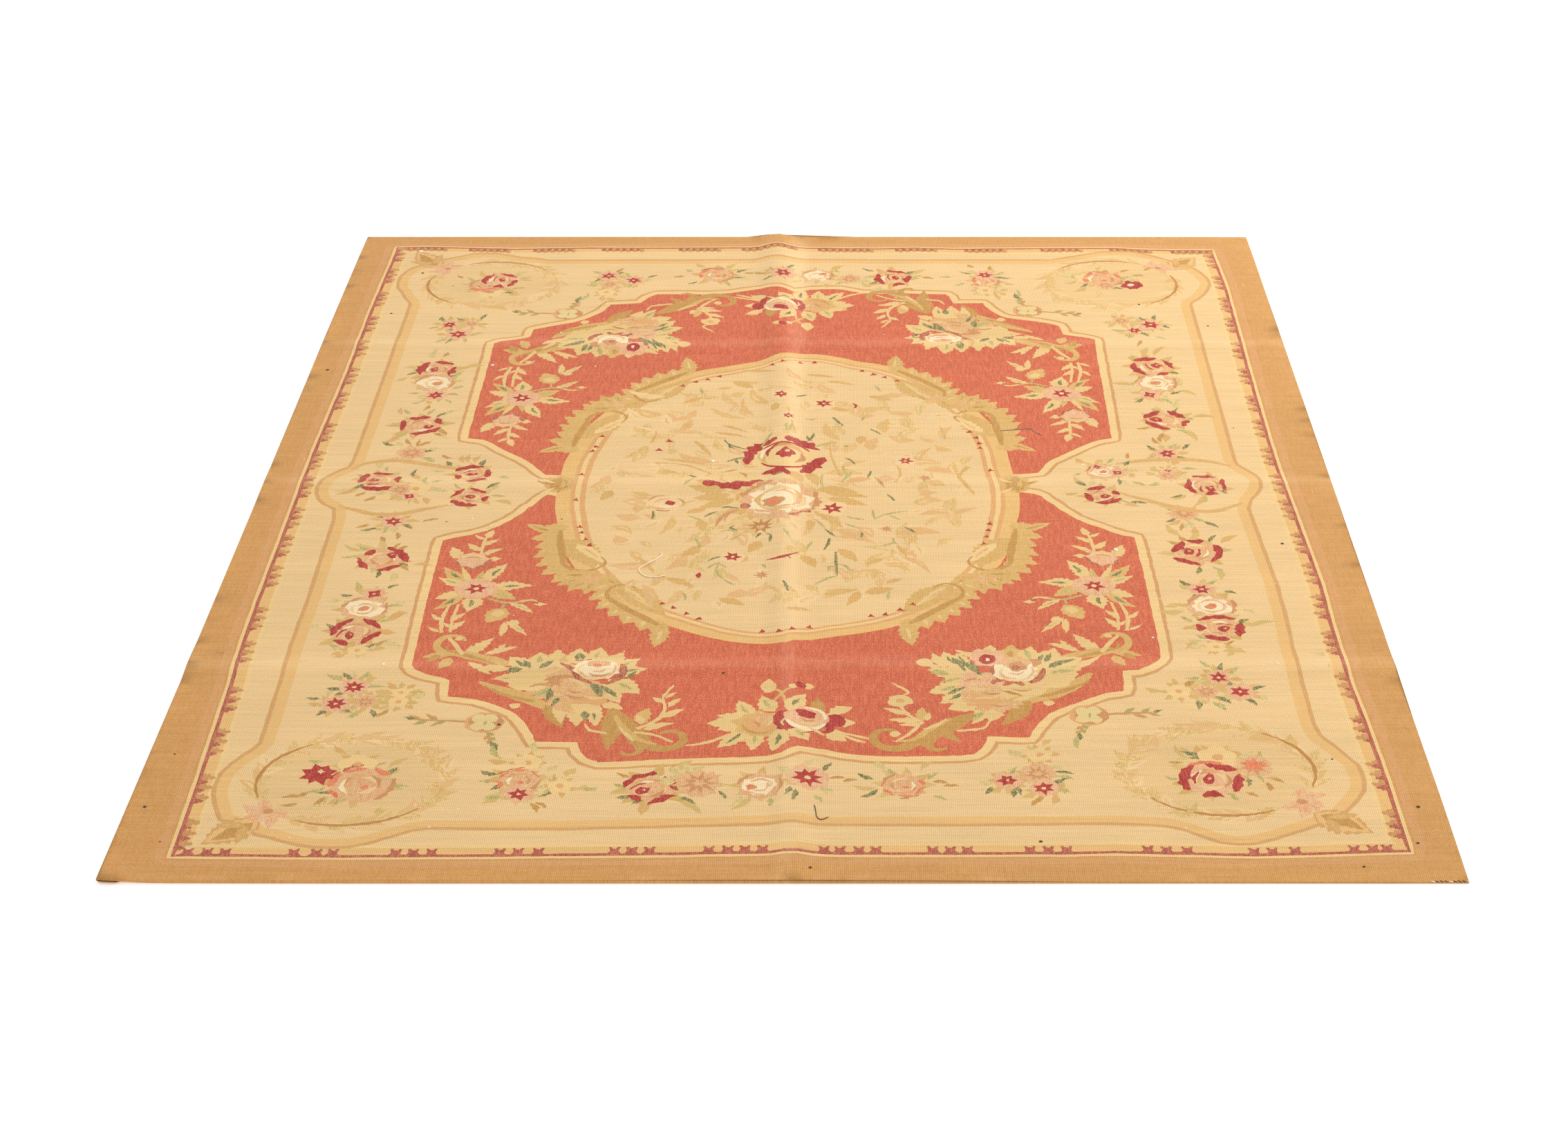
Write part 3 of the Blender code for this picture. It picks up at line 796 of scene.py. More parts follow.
last = len(patches)
Quarter = namedtuple("Quarter", "flip_x flip_y x y")
SIDE_QUARTERS = (Quarter(-1, 1, -34, 12), Quarter(1, -1, -4, 14), Quarter(-1, -1, -38, 40))
for quarter in SIDE_QUARTERS:
    again(first, last, *quarter)


# The red field's corner bouquets: a cream rose and shaded tan-pink ones in a crown of pale leaves.
# The two near ones are drawn; each is woven again, turned half round, in the far corner opposite.
PEACH = Yarn((238, 197, 140), (218, 160, 106), 0.40)
TOFFEE = Yarn((214, 158, 100), (198, 136, 82), 0.40)


def streaks(rows):
    """Tapering strokes given as yarn, start x and y, middle x and y, end x and y, and width."""
    for yarn, x0, y0, x1, y1, x2, y2, width in rows:
        ribbon(yarn, [(x0, y0), (x1, y1), (x2, y2)], 2.0, width, 2.0, step=8.0)


first = len(patches)
ribbon(GOLD, [(-622, -843), (-585, -868), (-540, -894), (-495, -925), (-455, -960)], 6.0, 24.0, 32.0, 26.0, 8.0)
ribbon(OCHRE, [(-612, -858), (-560, -896), (-505, -918)], 3.0, 11.0, 8.0)
leaves([
    (LEAFY, -515, -805, -572, -748, 52, MOSS), (LEAFY, -500, -800, -511, -728, 54, SAGE),
    (LEAFY, -468, -795, -476, -716, 48), (PALE_GOLD, -455, -790, -450, -735, 30),
    (LEAFY, -428, -785, -432, -711, 50, MOSS), (LEAFY, -395, -780, -389, -706, 46, SAGE),
    (LEAFY, -372, -800, -341, -729, 46), (LEAFY, -350, -805, -305, -758, 34, SAGE),
    (LEAFY, -352, -815, -290, -799, 36, MOSS), (LEAFY, -365, -835, -298, -890, 50, SAGE),
    (LEAFY, -385, -850, -335, -923, 48, MOSS), (LEAFY, -372, -925, -326, -948, 26),
    (LEAFY, -425, -930, -414, -1009, 40), (OCHRE, -482, -930, -442, -1016, 38),
    (LEAFY, -462, -930, -445, -1000, 24), (LEAFY, -393, -935, -377, -1010, 34, MOSS),
    (LEAFY, -520, -815, -600, -832, 34, SAGE),
])
blob(LEAFY, -480, -815, 62.0, 0.8)
blob(PEACH, -470, -852, 62.0, 0.95, 20)
blob(LEAFY, -525, -842, 42.0, 0.85)
blob(PEACH, -425, -890, 62.0, 1.1, 0)
blob(BISCUIT, -395, -920, 34.0, 0.8, 30, 0.2)
blob(LEAFY, -400, -945, 30.0, 0.6)
crescent(SAND, -455, -870, 52.0, 40, 140, 12.0, False)
spiky(SAND, -472, -842, 20.0, 7, 0.55)
streaks([(LEAFY, -520, -820, -494, -812, -462, -800, 14), (LEAFY, -506, -872, -478, -890, -448, -892, 12),
         (SAND, -520, -862, -496, -852, -474, -862, 8), (LEAFY, -446, -828, -420, -846, -408, -872, 12),
         (SAND, -446, -892, -424, -904, -400, -900, 9), (LEAFY, -410, -896, -388, -906, -366, -902, 12),
         (TOFFEE, -444, -872, -430, -884, -414, -884, 6), (LEAFY, -440, -938, -420, -930, -404, -938, 12),
         (SAND, -396, -862, -384, -880, -382, -898, 8), (TOFFEE, -486, -832, -470, -826, -456, -834, 6),
         (GOLD, -460, -910, -440, -928, -424, -950, 12), (PINK, -430, -800, -420, -814, -404, -826, 9)])
leaves([
    (SAGE, -507, -905, -474, -862, 16), (MOSS, -478, -866, -481, -918, 16), (MOSS, -458, -902, -472, -936, 14),
    (MOSS, -398, -846, -374, -903, 20), (MOSS, -380, -858, -341, -902, 13), (MOSS, -506, -798, -478, -764, 16),
    (MOSS, -541, -765, -524, -798, 13), (MOSS, -572, -806, -538, -798, 20), (MOSS, -404, -952, -398, -990, 15),
    (MOSS, -432, -728, -421, -766, 11), (MOSS, -328, -832, -309, -806, 11),
])
ribbon(WINE, [(-467, -776), (-440, -800), (-425, -828), (-398, -848)], 5.0, 13.0, 14.0, 6.0, step=7.0)
ribbon(WINE, [(-340, -782), (-337, -810), (-352, -838), (-368, -852)], 10.0, 18.0, 16.0, 6.0, step=7.0)
ribbon(WINE, [(-438, -764), (-420, -768), (-404, -760)], 4.0, 6.0, 5.0, step=6.0)
blob(IVORY, -391, -800, 45.0, 0.78, -5, 0.15)
crescent(STRAW, -391, -795, 40.0, 185, 350, 8.0, False)
crescent(SAND, -385, -800, 26.0, 215, 330, 7.0, False)
blob(BLUSH, -388, -780, 24.0, 0.55)
blob(CORAL, -391, -785, 10.0, 0.5, 0, 0.15)
streaks([(BLUSH, -424, -806, -412, -822, -388, -826, 7), (PINK, -366, -822, -354, -806, -354, -786, 6),
         (STRAW, -412, -782, -424, -790, -428, -800, 5), (BLUSH, -398, -806, -384, -808, -370, -800, 5)])
last = len(patches)
again(first, last, -1, -1, -34, 35)
first = len(patches)
ribbon(GOLD, [(604, -812), (575, -845), (530, -880), (480, -905), (440, -940)], 8.0, 34.0, 44.0, 34.0, 10.0)
ribbon(OCHRE, [(600, -838), (550, -875), (495, -900)], 3.0, 12.0, 8.0)
leaves([
    (LEAFY, 345, -812, 273, -800, 36, SAGE), (LEAFY, 350, -845, 274, -886, 46, SAGE),
    (LEAFY, 355, -872, 297, -925, 46, MOSS), (LEAFY, 375, -915, 310, -947, 46), (LEAFY, 345, -800, 308, -726, 44, MOSS),
    (LEAFY, 360, -795, 337, -730, 28, MOSS), (LEAFY, 312, -795, 286, -728, 22), (LEAFY, 385, -752, 333, -718, 22),
    (LEAFY, 405, -770, 407, -699, 44, SAGE), (PALE_GOLD, 448, -775, 450, -699, 58, OCHRE),
    (LEAFY, 480, -775, 489, -702, 46, SAGE), (LEAFY, 510, -795, 539, -711, 60, MOSS),
    (LEAFY, 530, -790, 592, -752, 50, MOSS), (LEAFY, 540, -810, 596, -780, 36, SAGE),
    (LEAFY, 388, -930, 357, -1002, 34, SAGE), (LEAFY, 412, -935, 390, -994, 34), (OCHRE, 475, -915, 414, -1006, 38),
    (LEAFY, 300, -795, 278, -790, 20), (LEAFY, 590, -790, 632, -742, 14),
])
blob(LEAFY, 520, -820, 55.0, 0.8, 20)
blob(LEAFY, 340, -820, 36.0)
blob(PINK, 380, -850, 46.0, 0.9)
blob(PEACH, 400, -905, 62.0, 0.8, -20)
blob(LEAFY, 465, -875, 52.0, 0.65, 25)
blob(BISCUIT, 385, -920, 30.0, 0.7, -30, 0.2)
streaks([(LEAFY, 352, -862, 374, -872, 400, -870, 12), (SAND, 348, -842, 366, -832, 384, -836, 8),
         (LEAFY, 398, -896, 426, -894, 452, -880, 12), (GOLD, 400, -918, 430, -914, 458, -896, 10),
         (TOFFEE, 384, -884, 400, -890, 420, -884, 6), (LEAFY, 366, -910, 384, -902, 404, -908, 9),
         (PINK, 474, -858, 494, -862, 512, -850, 10), (SAND, 440, -870, 462, -878, 480, -872, 7),
         (LEAFY, 372, -834, 386, -820, 402, -822, 10), (TOFFEE, 398, -930, 412, -936, 430, -934, 6)])
leaves([
    (TWIG, 420, -878, 463, -898, 9), (MOSS, 324, -752, 352, -806, 14), (MOSS, 342, -768, 386, -826, 14),
    (MOSS, 358, -768, 378, -806, 10), (MOSS, 518, -794, 562, -762, 18), (MOSS, 502, -770, 514, -733, 10),
    (SAGE, 520, -812, 572, -803, 11), (SAGE, 474, -714, 485, -768, 13), (SAGE, 278, -806, 320, -818, 18),
    (MOSS, 312, -892, 352, -862, 11), (SAGE, 296, -847, 346, -830, 9), (SAGE, 360, -990, 384, -950, 14),
])
ribbon(WINE, [(402, -850), (418, -836), (445, -836), (466, -858)], 8.0, 16.0, 17.0, 8.0, step=7.0)
ribbon(WINE, [(478, -846), (500, -828), (510, -796)], 12.0, 15.0, 8.0, step=7.0)
ribbon(WINE, [(402, -790), (408, -812), (416, -830)], 6.0, 10.0, 4.0, step=7.0)
blob(SAND, 420, -770, 16.0)
blob(SAND, 494, -772, 15.0)
blob(IVORY, 452, -805, 44.0, 0.85, 0, 0.15)
blob(PEACH, 455, -776, 30.0, 0.9)
crescent(STRAW, 452, -805, 38.0, 200, 340, 8.0, False)
blob(SAND, 456, -788, 20.0, 0.9, 0, 0.2)
blob(WINE, 452, -792, 8.0, 1.3, 0, 0.2)
streaks([(BLUSH, 420, -806, 430, -826, 452, -832, 7), (PINK, 476, -826, 488, -810, 486, -790, 6),
         (STRAW, 430, -788, 424, -800, 426, -808, 5), (BLUSH, 440, -812, 456, -816, 470, -806, 5)])
blob(PINK, 398, -752, 36.0, 1.05)
blob(CRIMSON, 397, -759, 17.0, 1.45, 0, 0.2)
blob(IVORY, 398, -762, 5.0, 1.4)
blob(LEAFY, 271, -774, 17.0, 1.1)
ribbon(LEAFY, [(280, -765), (300, -780), (312, -792)], 5.0, 7.0, 6.0, step=7.0)
last = len(patches)
again(first, last, -1, -1, -33, 18)
for x, y in ((-541, -934), (513, -923), (-566, 938), (510, 955)):
    blob(LEAFY, x, y, 12.0, 0.95, 0, 0.15)


# The red field's middle bouquets and the end scrolls on both sides of them. The near ones are
# drawn and woven again at the far end, turned half round.
first = len(patches)
ribbon(LEAFY, [(-197, -1078), (-160, -1068), (-130, -1052), (-100, -1030)], 5.0, 8.0, 7.0, 6.0)
ribbon(LEAFY, [(-186, -1080), (-150, -1062), (-118, -1040)], 4.0, 6.0, 5.0)
ribbon(LEAFY, [(168, -1056), (140, -1048), (112, -1036), (85, -1020)], 5.0, 8.0, 7.0, 6.0)
ribbon(LEAFY, [(150, -1066), (128, -1058), (105, -1040)], 4.0, 9.0, 5.0)
ribbon(PALE_GOLD, [(-38, -872), (-20, -886), (-8, -925), (-2, -950)], 6.0, 8.0, 7.0, 6.0)
ribbon(PALE_GOLD, [(4, -872), (-12, -890), (-32, -920)], 5.0, 8.0, 5.0)
leaves([
    (LEAFY, -72, -975, -101, -912, 38, SAGE), (LEAFY, -28, -960, -56, -896, 38, SAGE),
    (LEAFY, 0, -965, 31, -893, 42, MOSS), (OCHRE, 60, -965, 56, -902, 30), (LEAFY, 78, -965, 124, -938, 32),
    (LEAFY, 95, -998, 130, -996, 30), (LEAFY, -80, -985, -160, -1000, 46), (LEAFY, -80, -975, -142, -968, 30),
    (LEAFY, -85, -1000, -140, -1022, 30), (LEAFY, -80, -1015, -137, -1087, 38, MOSS),
    (LEAFY, -68, -1020, -70, -1096, 38, SAGE), (LEAFY, -15, -1020, -31, -1102, 42, MOSS),
    (LEAFY, 0, -1020, 40, -1062, 42, SAGE), (LEAFY, 72, -1032, 112, -1062, 36), (LEAFY, -40, -885, -44, -832, 30),
])
spiky(PALE_GOLD, -58, -1000, 52.0, 9, 0.80, 10)
blob(BISCUIT, -52, -998, 34.0, 1.0, 0, 0.15)
crescent(OCHRE, -56, -1002, 36.0, 180, 300, 8.0, False)
blob(PEACH, -46, -986, 20.0, 0.9, 0, 0.2)
blob(CRIMSON, -12, -985, 22.0, 1.3, 10, 0.2)
blob(CRIMSON, 0, -1012, 26.0, 0.75, -10, 0.2)
blob(CRIMSON, 88, -985, 20.0, 1.3, 20, 0.2)
blob(CRIMSON, 66, -1016, 28.0, 0.7, 20, 0.2)
blob(PINK, 34, -982, 44.0, 0.9, 0, 0.08)
crescent(IVORY, 34, -986, 42.0, 190, 340, 14.0, False)
crescent(IVORY, 40, -975, 34.0, -20, 110, 8.0, False)
crescent(WINE, 30, -990, 50.0, 265, 330, 7.0)
streaks([(LEAFY, 18, -998, 40, -1004, 60, -992, 10), (SAND, 22, -984, 34, -992, 50, -986, 6),
         (PINK, 4, -968, 14, -980, 16, -998, 8), (LEAFY, 70, -968, 84, -962, 98, -962, 8),
         (LEAFY, -6, -984, -14, -1000, -10, -1014, 6), (LEAFY, 24, -1006, 48, -1020, 70, -1042, 9),
         (SAND, -70, -988, -60, -1000, -58, -1014, 8), (LEAFY, -44, -1008, -36, -998, -32, -984, 6)])
blob(CRIMSON, 33, -967, 20.0, 0.75, -15, 0.22)
blob(LEAFY, -42, -868, 15.0, 1.2)
blob(LEAFY, 6, -868, 9.0)
blob(LEAFY, 36, -864, 12.0)
blob(CRIMSON, 20, -862, 12.0, 1.1, 0, 0.25)
last = len(patches)
again(first, last, -1, -1, -30, 50)
first = len(patches)
leaf(OCHRE, (-350, -942), (-350, -1098), 44.0, 0.04)
scroll(OCHRE, (-352, -946), -234, -1050, 44, -150, 290, 38)
scroll(OCHRE, (-312, -1046), -308, -1094, 26, 40, -200, 21)
ribbon(GOLD, [(-342, -968), (-322, -1015), (-290, -1056), (-252, -1074)], 6.0, 16.0, 13.0, 5.0)
ribbon(LEAFY, [(-330, -1012), (-312, -1042), (-298, -1062)], 4.0, 9.0, 5.0)
ribbon(LEAFY, [(-398, -1000), (-385, -1024), (-352, -1034)], 4.0, 8.0, 6.0)
ribbon(LEAFY, [(-296, -1018), (-256, -984), (-245, -940), (-251, -902), (-232, -856)], 10.0, 9.0, 8.0, 6.0, 4.0)
ribbon(LEAFY, [(-300, -1030), (-260, -1040), (-222, -1066)], 8.0, 7.0, 5.0)
leaves([(LEAFY, -248, -922, -272, -902, 13), (LEAFY, -247, -905, -224, -884, 11), (LEAFY, -240, -940, -214, -904, 15),
        (LEAFY, -248, -978, -206, -944, 20), (PALE_GOLD, -290, -1005, -277, -941, 32),
        (LEAFY, -283, -1000, -297, -968, 18), (LEAFY, -285, -1022, -224, -996, 20)])
last = len(patches)
again(first, last, -1, -1, -30, 50)
first = len(patches)
scroll(OCHRE, (362, -964), 198, -1046, 48, -35, -270, 40)
scroll(OCHRE, (292, -1026), 294, -1076, 26, 165, 160, 23)
ribbon(OCHRE, [(318, -1000), (308, -1036), (332, -1064)], 34.0, 26.0, 5.0, step=8.0)
ribbon(GOLD, [(200, -1062), (240, -1058), (275, -1018), (316, -982)], 5.0, 12.0, 16.0, 5.0)
ribbon(LEAFY, [(262, -1020), (288, -1006), (308, -980)], 4.0, 8.0, 4.0)
ribbon(LEAFY, [(392, -990), (378, -1016), (326, -1026)], 4.0, 8.0, 6.0)
ribbon(LEAFY, [(208, -1064), (236, -1034), (254, -1004)], 5.0, 8.0, 7.0)
ribbon(LEAFY, [(262, -998), (232, -964), (219, -934)], 9.0, 8.0, 6.0)
ribbon(LEAFY, [(221, -896), (235, -884), (222, -866), (202, -847)], 5.0, 8.0, 7.0, 4.0, step=7.0)
leaves([(LEAFY, 240, -964, 183, -940, 17), (LEAFY, 258, -986, 196, -984, 22), (LEAFY, 262, -1000, 214, -1002, 14),
        (PALE_GOLD, 262, -992, 261, -938, 26), (LEAFY, 270, -990, 276, -956, 14)])
blob(LEAFY, 218, -914, 24.0, 0.95, 0, 0.16)
blob(BISCUIT, 219, -915, 9.0)
blob(LEAFY, 206, -1036, 11.0)
last = len(patches)
again(first, last, -1, -1, -22, 28)


# The medallion's frame: at each of its four shoulders two ochre scrolls with serrated acanthus
# leaves meet in a palmette, and a ribbon end hangs off them. Small crimson darts sit along the
# inner band, and a knot of ochre clasps each side.
ACANTHUS_LEAN = 0.7
ACANTHUS_BODY = 0.62


def fan(yarn, x, y, reach, start, stop, count, width, vein):
    """Leaves that spread from one foot."""
    for degrees in np.linspace(start, stop, count):
        leaf(yarn, (x, y), around(x, y, reach * chance.uniform(0.88, 1.08), degrees), width, 0.0, vein)


def acanthus(yarn, x, y, radius, start, stop, depth, lobes, vein):
    """A leaf that bends round x, y at a radius, with pointed lobes along its outer side."""
    lean = (stop - start) / lobes * ACANTHUS_LEAN
    for degrees in np.linspace(start, stop, lobes):
        tip = around(x, y, radius + depth * chance.uniform(0.85, 1.12), degrees + lean)
        leaf(yarn, around(x, y, radius - depth * 0.3, degrees), tip, depth * 0.85, 0.0, vein)
    body = [around(x, y, radius, degrees) for degrees in np.linspace(start, stop, 5)]
    ribbon(yarn, body, 6.0, depth * ACANTHUS_BODY, depth * ACANTHUS_BODY, 8.0, step=8.0)


first = len(patches)
acanthus(PALE_GOLD, 128, -227, 360, 8, -26, 52, 7, GOLD)
leaf(GOLD, (474, -236), (396, -376), 74.0, -0.08)
leaf(STRAW, (440, -262), (380, -350), 30.0, -0.05, PEACH)
leaf(PALE_GOLD, (494, -204), (566, -166), 30.0, 0.0, OCHRE)
scroll(OCHRE, (486, -194), 410, -336, 62, 20, -235, 18)
fan(GOLD, 394, -400, 92, -140, 0, 6, 46.0, OCHRE)
fan(PEACH, 398, -404, 56, -115, -35, 3, 12.0, None)
acanthus(PALE_GOLD, 145, -408, 219, -8, -62, 50, 7, LEAFY)
leaf(GOLD, (340, -448), (228, -572), 66.0, -0.05)
leaf(LEAFY, (326, -450), (250, -546), 17.0)
leaf(PEACH, (322, -466), (284, -508), 10.0)
scroll(OCHRE, (238, -616), 318, -472, 48, -62, 215, 18)
leaf(GOLD, (234, -604), (247, -702), 42.0, 0.0, LEAFY)
last = len(patches)
for quarter in (Quarter(-1, 1, -36, -5), Quarter(1, -1, -6, 27), Quarter(-1, -1, -44, 20)):
    again(first, last, *quarter)
DARTS = (
    (-47, 680), (-5, 684), (30, 687), (-75, 660), (150, 636), (178, 617), (205, 601), (237, 580), (-203, 605),
    (-233, 587), (-260, 573), (-292, 551), (403, 293), (417, 263), (424, 232), (424, 207), (444, 92),
    (-466, 270), (-477, 215), (-483, 190), (-497, 70), (-500, -55), (-480, -185), (-473, -212), (-461, -243),
    (-450, -270), (430, -170), (425, -200), (420, -230), (413, -263), (252, -530), (225, -553), (193, -573),
    (163, -580), (35, -627), (0, -643), (-27, -650), (-62, -645), (-195, -592), (-223, -570), (-251, -545),
    (-275, -528),
)
for x, y in DARTS:
    spiky(CRIMSON, x, y, 9.5, 3, 0.45, chance.uniform(70, 110))
for x, side in ((-545, 1), (498, -1)):
    blob(GOLD, x, 20, 36.0, 1.1, 0, 0.16)
    blob(OCHRE, x, 18, 24.0, 1.2, 0, 0.25)
    streaks([(OCHRE, x - side * 52, 34, x - side * 30, 22, x, 18, 14), (STRAW, x - 40, 44, x - 22, 30, x - 8, 26, 9),
             (STRAW, x - 38, -24, x - 22, -10, x - 8, 2, 9), (PALE_GOLD, x + 4, 46, x + 10, 20, x + 4, -8, 12),
             (OCHRE, x, 56, x + 3, 40, x + 8, 26, 8), (OCHRE, x, -22, x + 3, -8, x + 8, 8, 8)])


# The medallion's bouquet: a crimson rose over a half-open one and a great cream one, with ochre
# leaves, star flowers and short green sprigs strewn over the pale ground, all in an oval wreath
# of leaves that barely stands out from it.
AMBER = Yarn((229, 189, 121), (218, 168, 98), 0.45)
LINEN = Yarn((245, 210, 156), (236, 194, 134), 0.36)
SOFT_LEAVES = SHADOW_LEAVES + (LINEN, Yarn((233, 184, 128), (226, 174, 112), 0.38))
for k in range(84):
    angle = 2 * math.pi * (k + chance.uniform(-0.4, 0.4)) / 84
    swell = chance.uniform(0.82, 1.04)
    x, y = -28 + 400 * swell * math.cos(angle), 18 + 556 * swell * math.sin(angle)
    lean = angle + math.pi / 2 + chance.uniform(-0.9, 0.9)
    reach = chance.uniform(44, 92)
    yarn, vein = chance.sample(SOFT_LEAVES, 2)
    leaf(yarn, (x, y), (x + reach * math.cos(lean), y + reach * math.sin(lean)), chance.uniform(16, 34), 0.15, vein, 13.0)
for k in range(150):
    x, y = -28 + chance.uniform(-330, 330), 18 + chance.uniform(-480, 480)
    lean = math.atan2(y - 20, x + 30) + chance.uniform(-0.9, 0.9)
    reach = chance.uniform(46, 110)
    yarn, vein = chance.sample(SOFT_LEAVES, 2)
    leaf(yarn, (x, y), (x + reach * math.cos(lean), y + reach * math.sin(lean)), chance.uniform(14, 36), 0.12, vein, 13.0)
leaves([
    (AMBER, -170, 575, -116, 536, 30, GOLD), (AMBER, -205, 532, -166, 540, 14), (AMBER, 60, 576, 132, 556, 14),
    (AMBER, 164, 490, 222, 468, 20, GOLD), (AMBER, -285, 452, -236, 484, 16), (AMBER, -60, 440, -66, 396, 22),
    (AMBER, 70, 425, 122, 404, 20, GOLD), (GOLD, -250, 248, -200, 152, 14), (AMBER, -315, 92, -268, 70, 14),
    (GOLD, -424, -8, -444, -60, 28, AMBER), (AMBER, 145, 272, 143, 226, 26, GOLD), (AMBER, -322, 150, -210, 118, 12),
    (AMBER, -190, 332, -118, 286, 12), (AMBER, -205, 290, -120, 262, 14), (AMBER, -280, 340, -262, 318, 22),
    (AMBER, -208, -272, -250, -326, 28, GOLD), (AMBER, -78, -250, -104, -304, 30), (AMBER, 14, -318, 46, -372, 30, GOLD),
    (AMBER, 92, -286, 135, -346, 30, GOLD), (AMBER, -278, -416, -212, -458, 22, GOLD), (AMBER, 194, -328, 150, -356, 16),
    (AMBER, 196, -442, 232, -420, 16, GOLD), (AMBER, 150, -482, 216, -464, 30), (AMBER, -158, -508, -100, -536, 28, GOLD),
    (AMBER, -216, -150, -206, -206, 26), (AMBER, 62, -490, 138, -468, 24, GOLD), (AMBER, 138, -472, 112, -540, 22),
    (AMBER, 30, -150, 28, -200, 22), (AMBER, -20, -562, 40, -556, 14), (AMBER, 330, 330, 344, 240, 8),
    (AMBER, -340, 300, -352, 220, 8), (AMBER, 220, -270, 244, -330, 12), (AMBER, -345, -320, -300, -400, 12),
    (AMBER, -150, 640, -60, 622, 14), (AMBER, 10, 616, 84, 598, 16),
])
ribbon(GOLD, [(392, 110), (370, 60), (384, 14), (403, -30)], 14.0, 8.0, 12.0, 3.0)
ribbon(AMBER, [(-112, 30), (-180, 60), (-260, 118), (-330, 130)], 10.0, 8.0, 6.0, 4.0)
ribbon(AMBER, [(228, 118), (236, 70), (222, 24)], 3.0, 6.0, 4.0)
ribbon(AMBER, [(100, 55), (80, 140), (70, 230)], 8.0, 6.0, 4.0)
ribbon(AMBER, [(-12, 292), (-22, 360), (-30, 420)], 5.0, 6.0, 4.0)
leaves([
    (GOLD, -160, -10, -252, 12, 40, AMBER), (AMBER, -150, -30, -238, -48, 38, GOLD), (GOLD, -140, -50, -220, -92, 34, AMBER),
    (AMBER, -180, 20, -236, 40, 26), (AMBER, -130, -96, -166, -128, 24), (AMBER, 42, -6, 140, -20, 34, GOLD),
    (GOLD, 60, -20, 162, -44, 30, AMBER), (AMBER, 66, -48, 160, -84, 34), (GOLD, 78, -52, 128, -82, 16),
    (AMBER, 92, -68, 112, -112, 22), (GOLD, 36, -108, 104, -190, 22, PEACH), (AMBER, -200, -92, -250, -120, 22),
    (AMBER, 20, 80, 46, 10, 30, GOLD), (AMBER, -20, 78, 14, 20, 30), (BISCUIT, 110, 30, 170, 44, 26),
])
streaks([(SAND, -128, -100, -164, -132, -179, -182, 10), (SAND, -150, -118, -158, -140, -160, -160, 5),
         (SAND, 176, 52, 190, 24, 198, 2, 10), (SAND, -214, 62, -176, 78, -142, 96, 12)])
blob(LEAFY, -46, -44, 98.0, 0.86, 0, 0.16)
leaves([(AMBER, -96, -100, -104, -156, 28), (GOLD, -66, -104, -62, -152, 26), (AMBER, -36, -110, -22, -146, 24),
        (AMBER, -122, -96, -128, -132, 20), (AMBER, -20, 34, 0, -4, 22), (LEAFY, -136, 8, -88, 32, 22),
        (AMBER, -104, 38, -72, 6, 18), (LEAFY, -60, 34, -36, 4, 20), (LEAFY, 8, 30, 26, -10, 24),
        (GOLD, -134, -20, -138, -66, 12), (GOLD, 30, 8, 48, -44, 10)])
cream_rose(-40, -58, 82, (-14, -12))
petal_streaks(-40, -58, 104.0, 10, (PEACH, STRAW, AMBER, PEACH, LINEN))
crescent(WINE, -40, -58, 84.0, 285, 325, 8.0)
spiky(TWIG, -78, -182, 34.0, 9, 0.45, 10)
blob(BLUSH, -78, -186, 9.0)
spiky(SAND, -70, -405, 20.0, 8, 0.45)
spiky(SAND, 200, -195, 18.0, 8, 0.4)
spiky(SAND, 292, 48, 20.0, 7, 0.4)
spiky(CORAL, -23, 248, 15.0, 7, 0.5)
blob(STRAW, -23, 246, 6.0)
blob(WINE, -117, -86, 12.0, 1.1)
blob(LEAFY, -146, 54, 60.0, 0.55, -8)
petal_streaks(-146, 54, 60.0, 30, (SAND, STRAW, PEACH))
crescent(CRIMSON, -152, 92, 92.0, 222, 322, 26.0)
rose(-32, 158, 94, CRIMSON, 12, (2, 16), STRAW)
crescent(CRIMSON, -32, 166, 62.0, 20, 150, 8.0, False)
crescent(CRIMSON, -32, 150, 60.0, 200, 330, 9.0, False)
star_shapes = ((79, -97, 27), (248, 140, 20), (-47, 488, 19), (56, 450, 22), (-136, -323, 22), (-28, 369, 16))
for x, y, radius in star_shapes:
    blob(LINEN, x, y, radius * 1.3)
    spiky(CRIMSON, x, y, radius, 6, 0.5, chance.uniform(0, 60))
    blob(STRAW, x, y, radius * 0.2)
crescent(CRIMSON, 122, 436, 17.0, -60, 80, 7.0)
streaks([(CRIMSON, -62, -340, -26, -334, 6, -311, 12), (CRIMSON, -30, -338, -18, -330, -8, -343, 6), (CRIMSON, -204, -393, -206, -405, -204, -418, 13)])
for x, y in ((-307, 245), (-328, 197)):
    spiky(CRIMSON, x, y, 11.0, 3, 0.5, 90)
blob(LINEN, -296, -72, 46.0, 0.85, 0, 0.30)
streaks([(SAND, -336, -60, -322, -40, -300, -36, 7), (AMBER, -334, -84, -316, -96, -294, -100, 7),
         (BLUSH, -322, -72, -308, -54, -284, -50, 8), (SAND, -272, -46, -258, -60, -254, -78, 6),
         (IVORY, -312, -84, -292, -90, -268, -84, 8), (AMBER, -266, -92, -256, -80, -250, -66, 6),
         (WINE, -318, -104, -300, -110, -282, -106, 5)])
blob(CRIMSON, -288, -70, 11.0, 1.2, 0, 0.25)
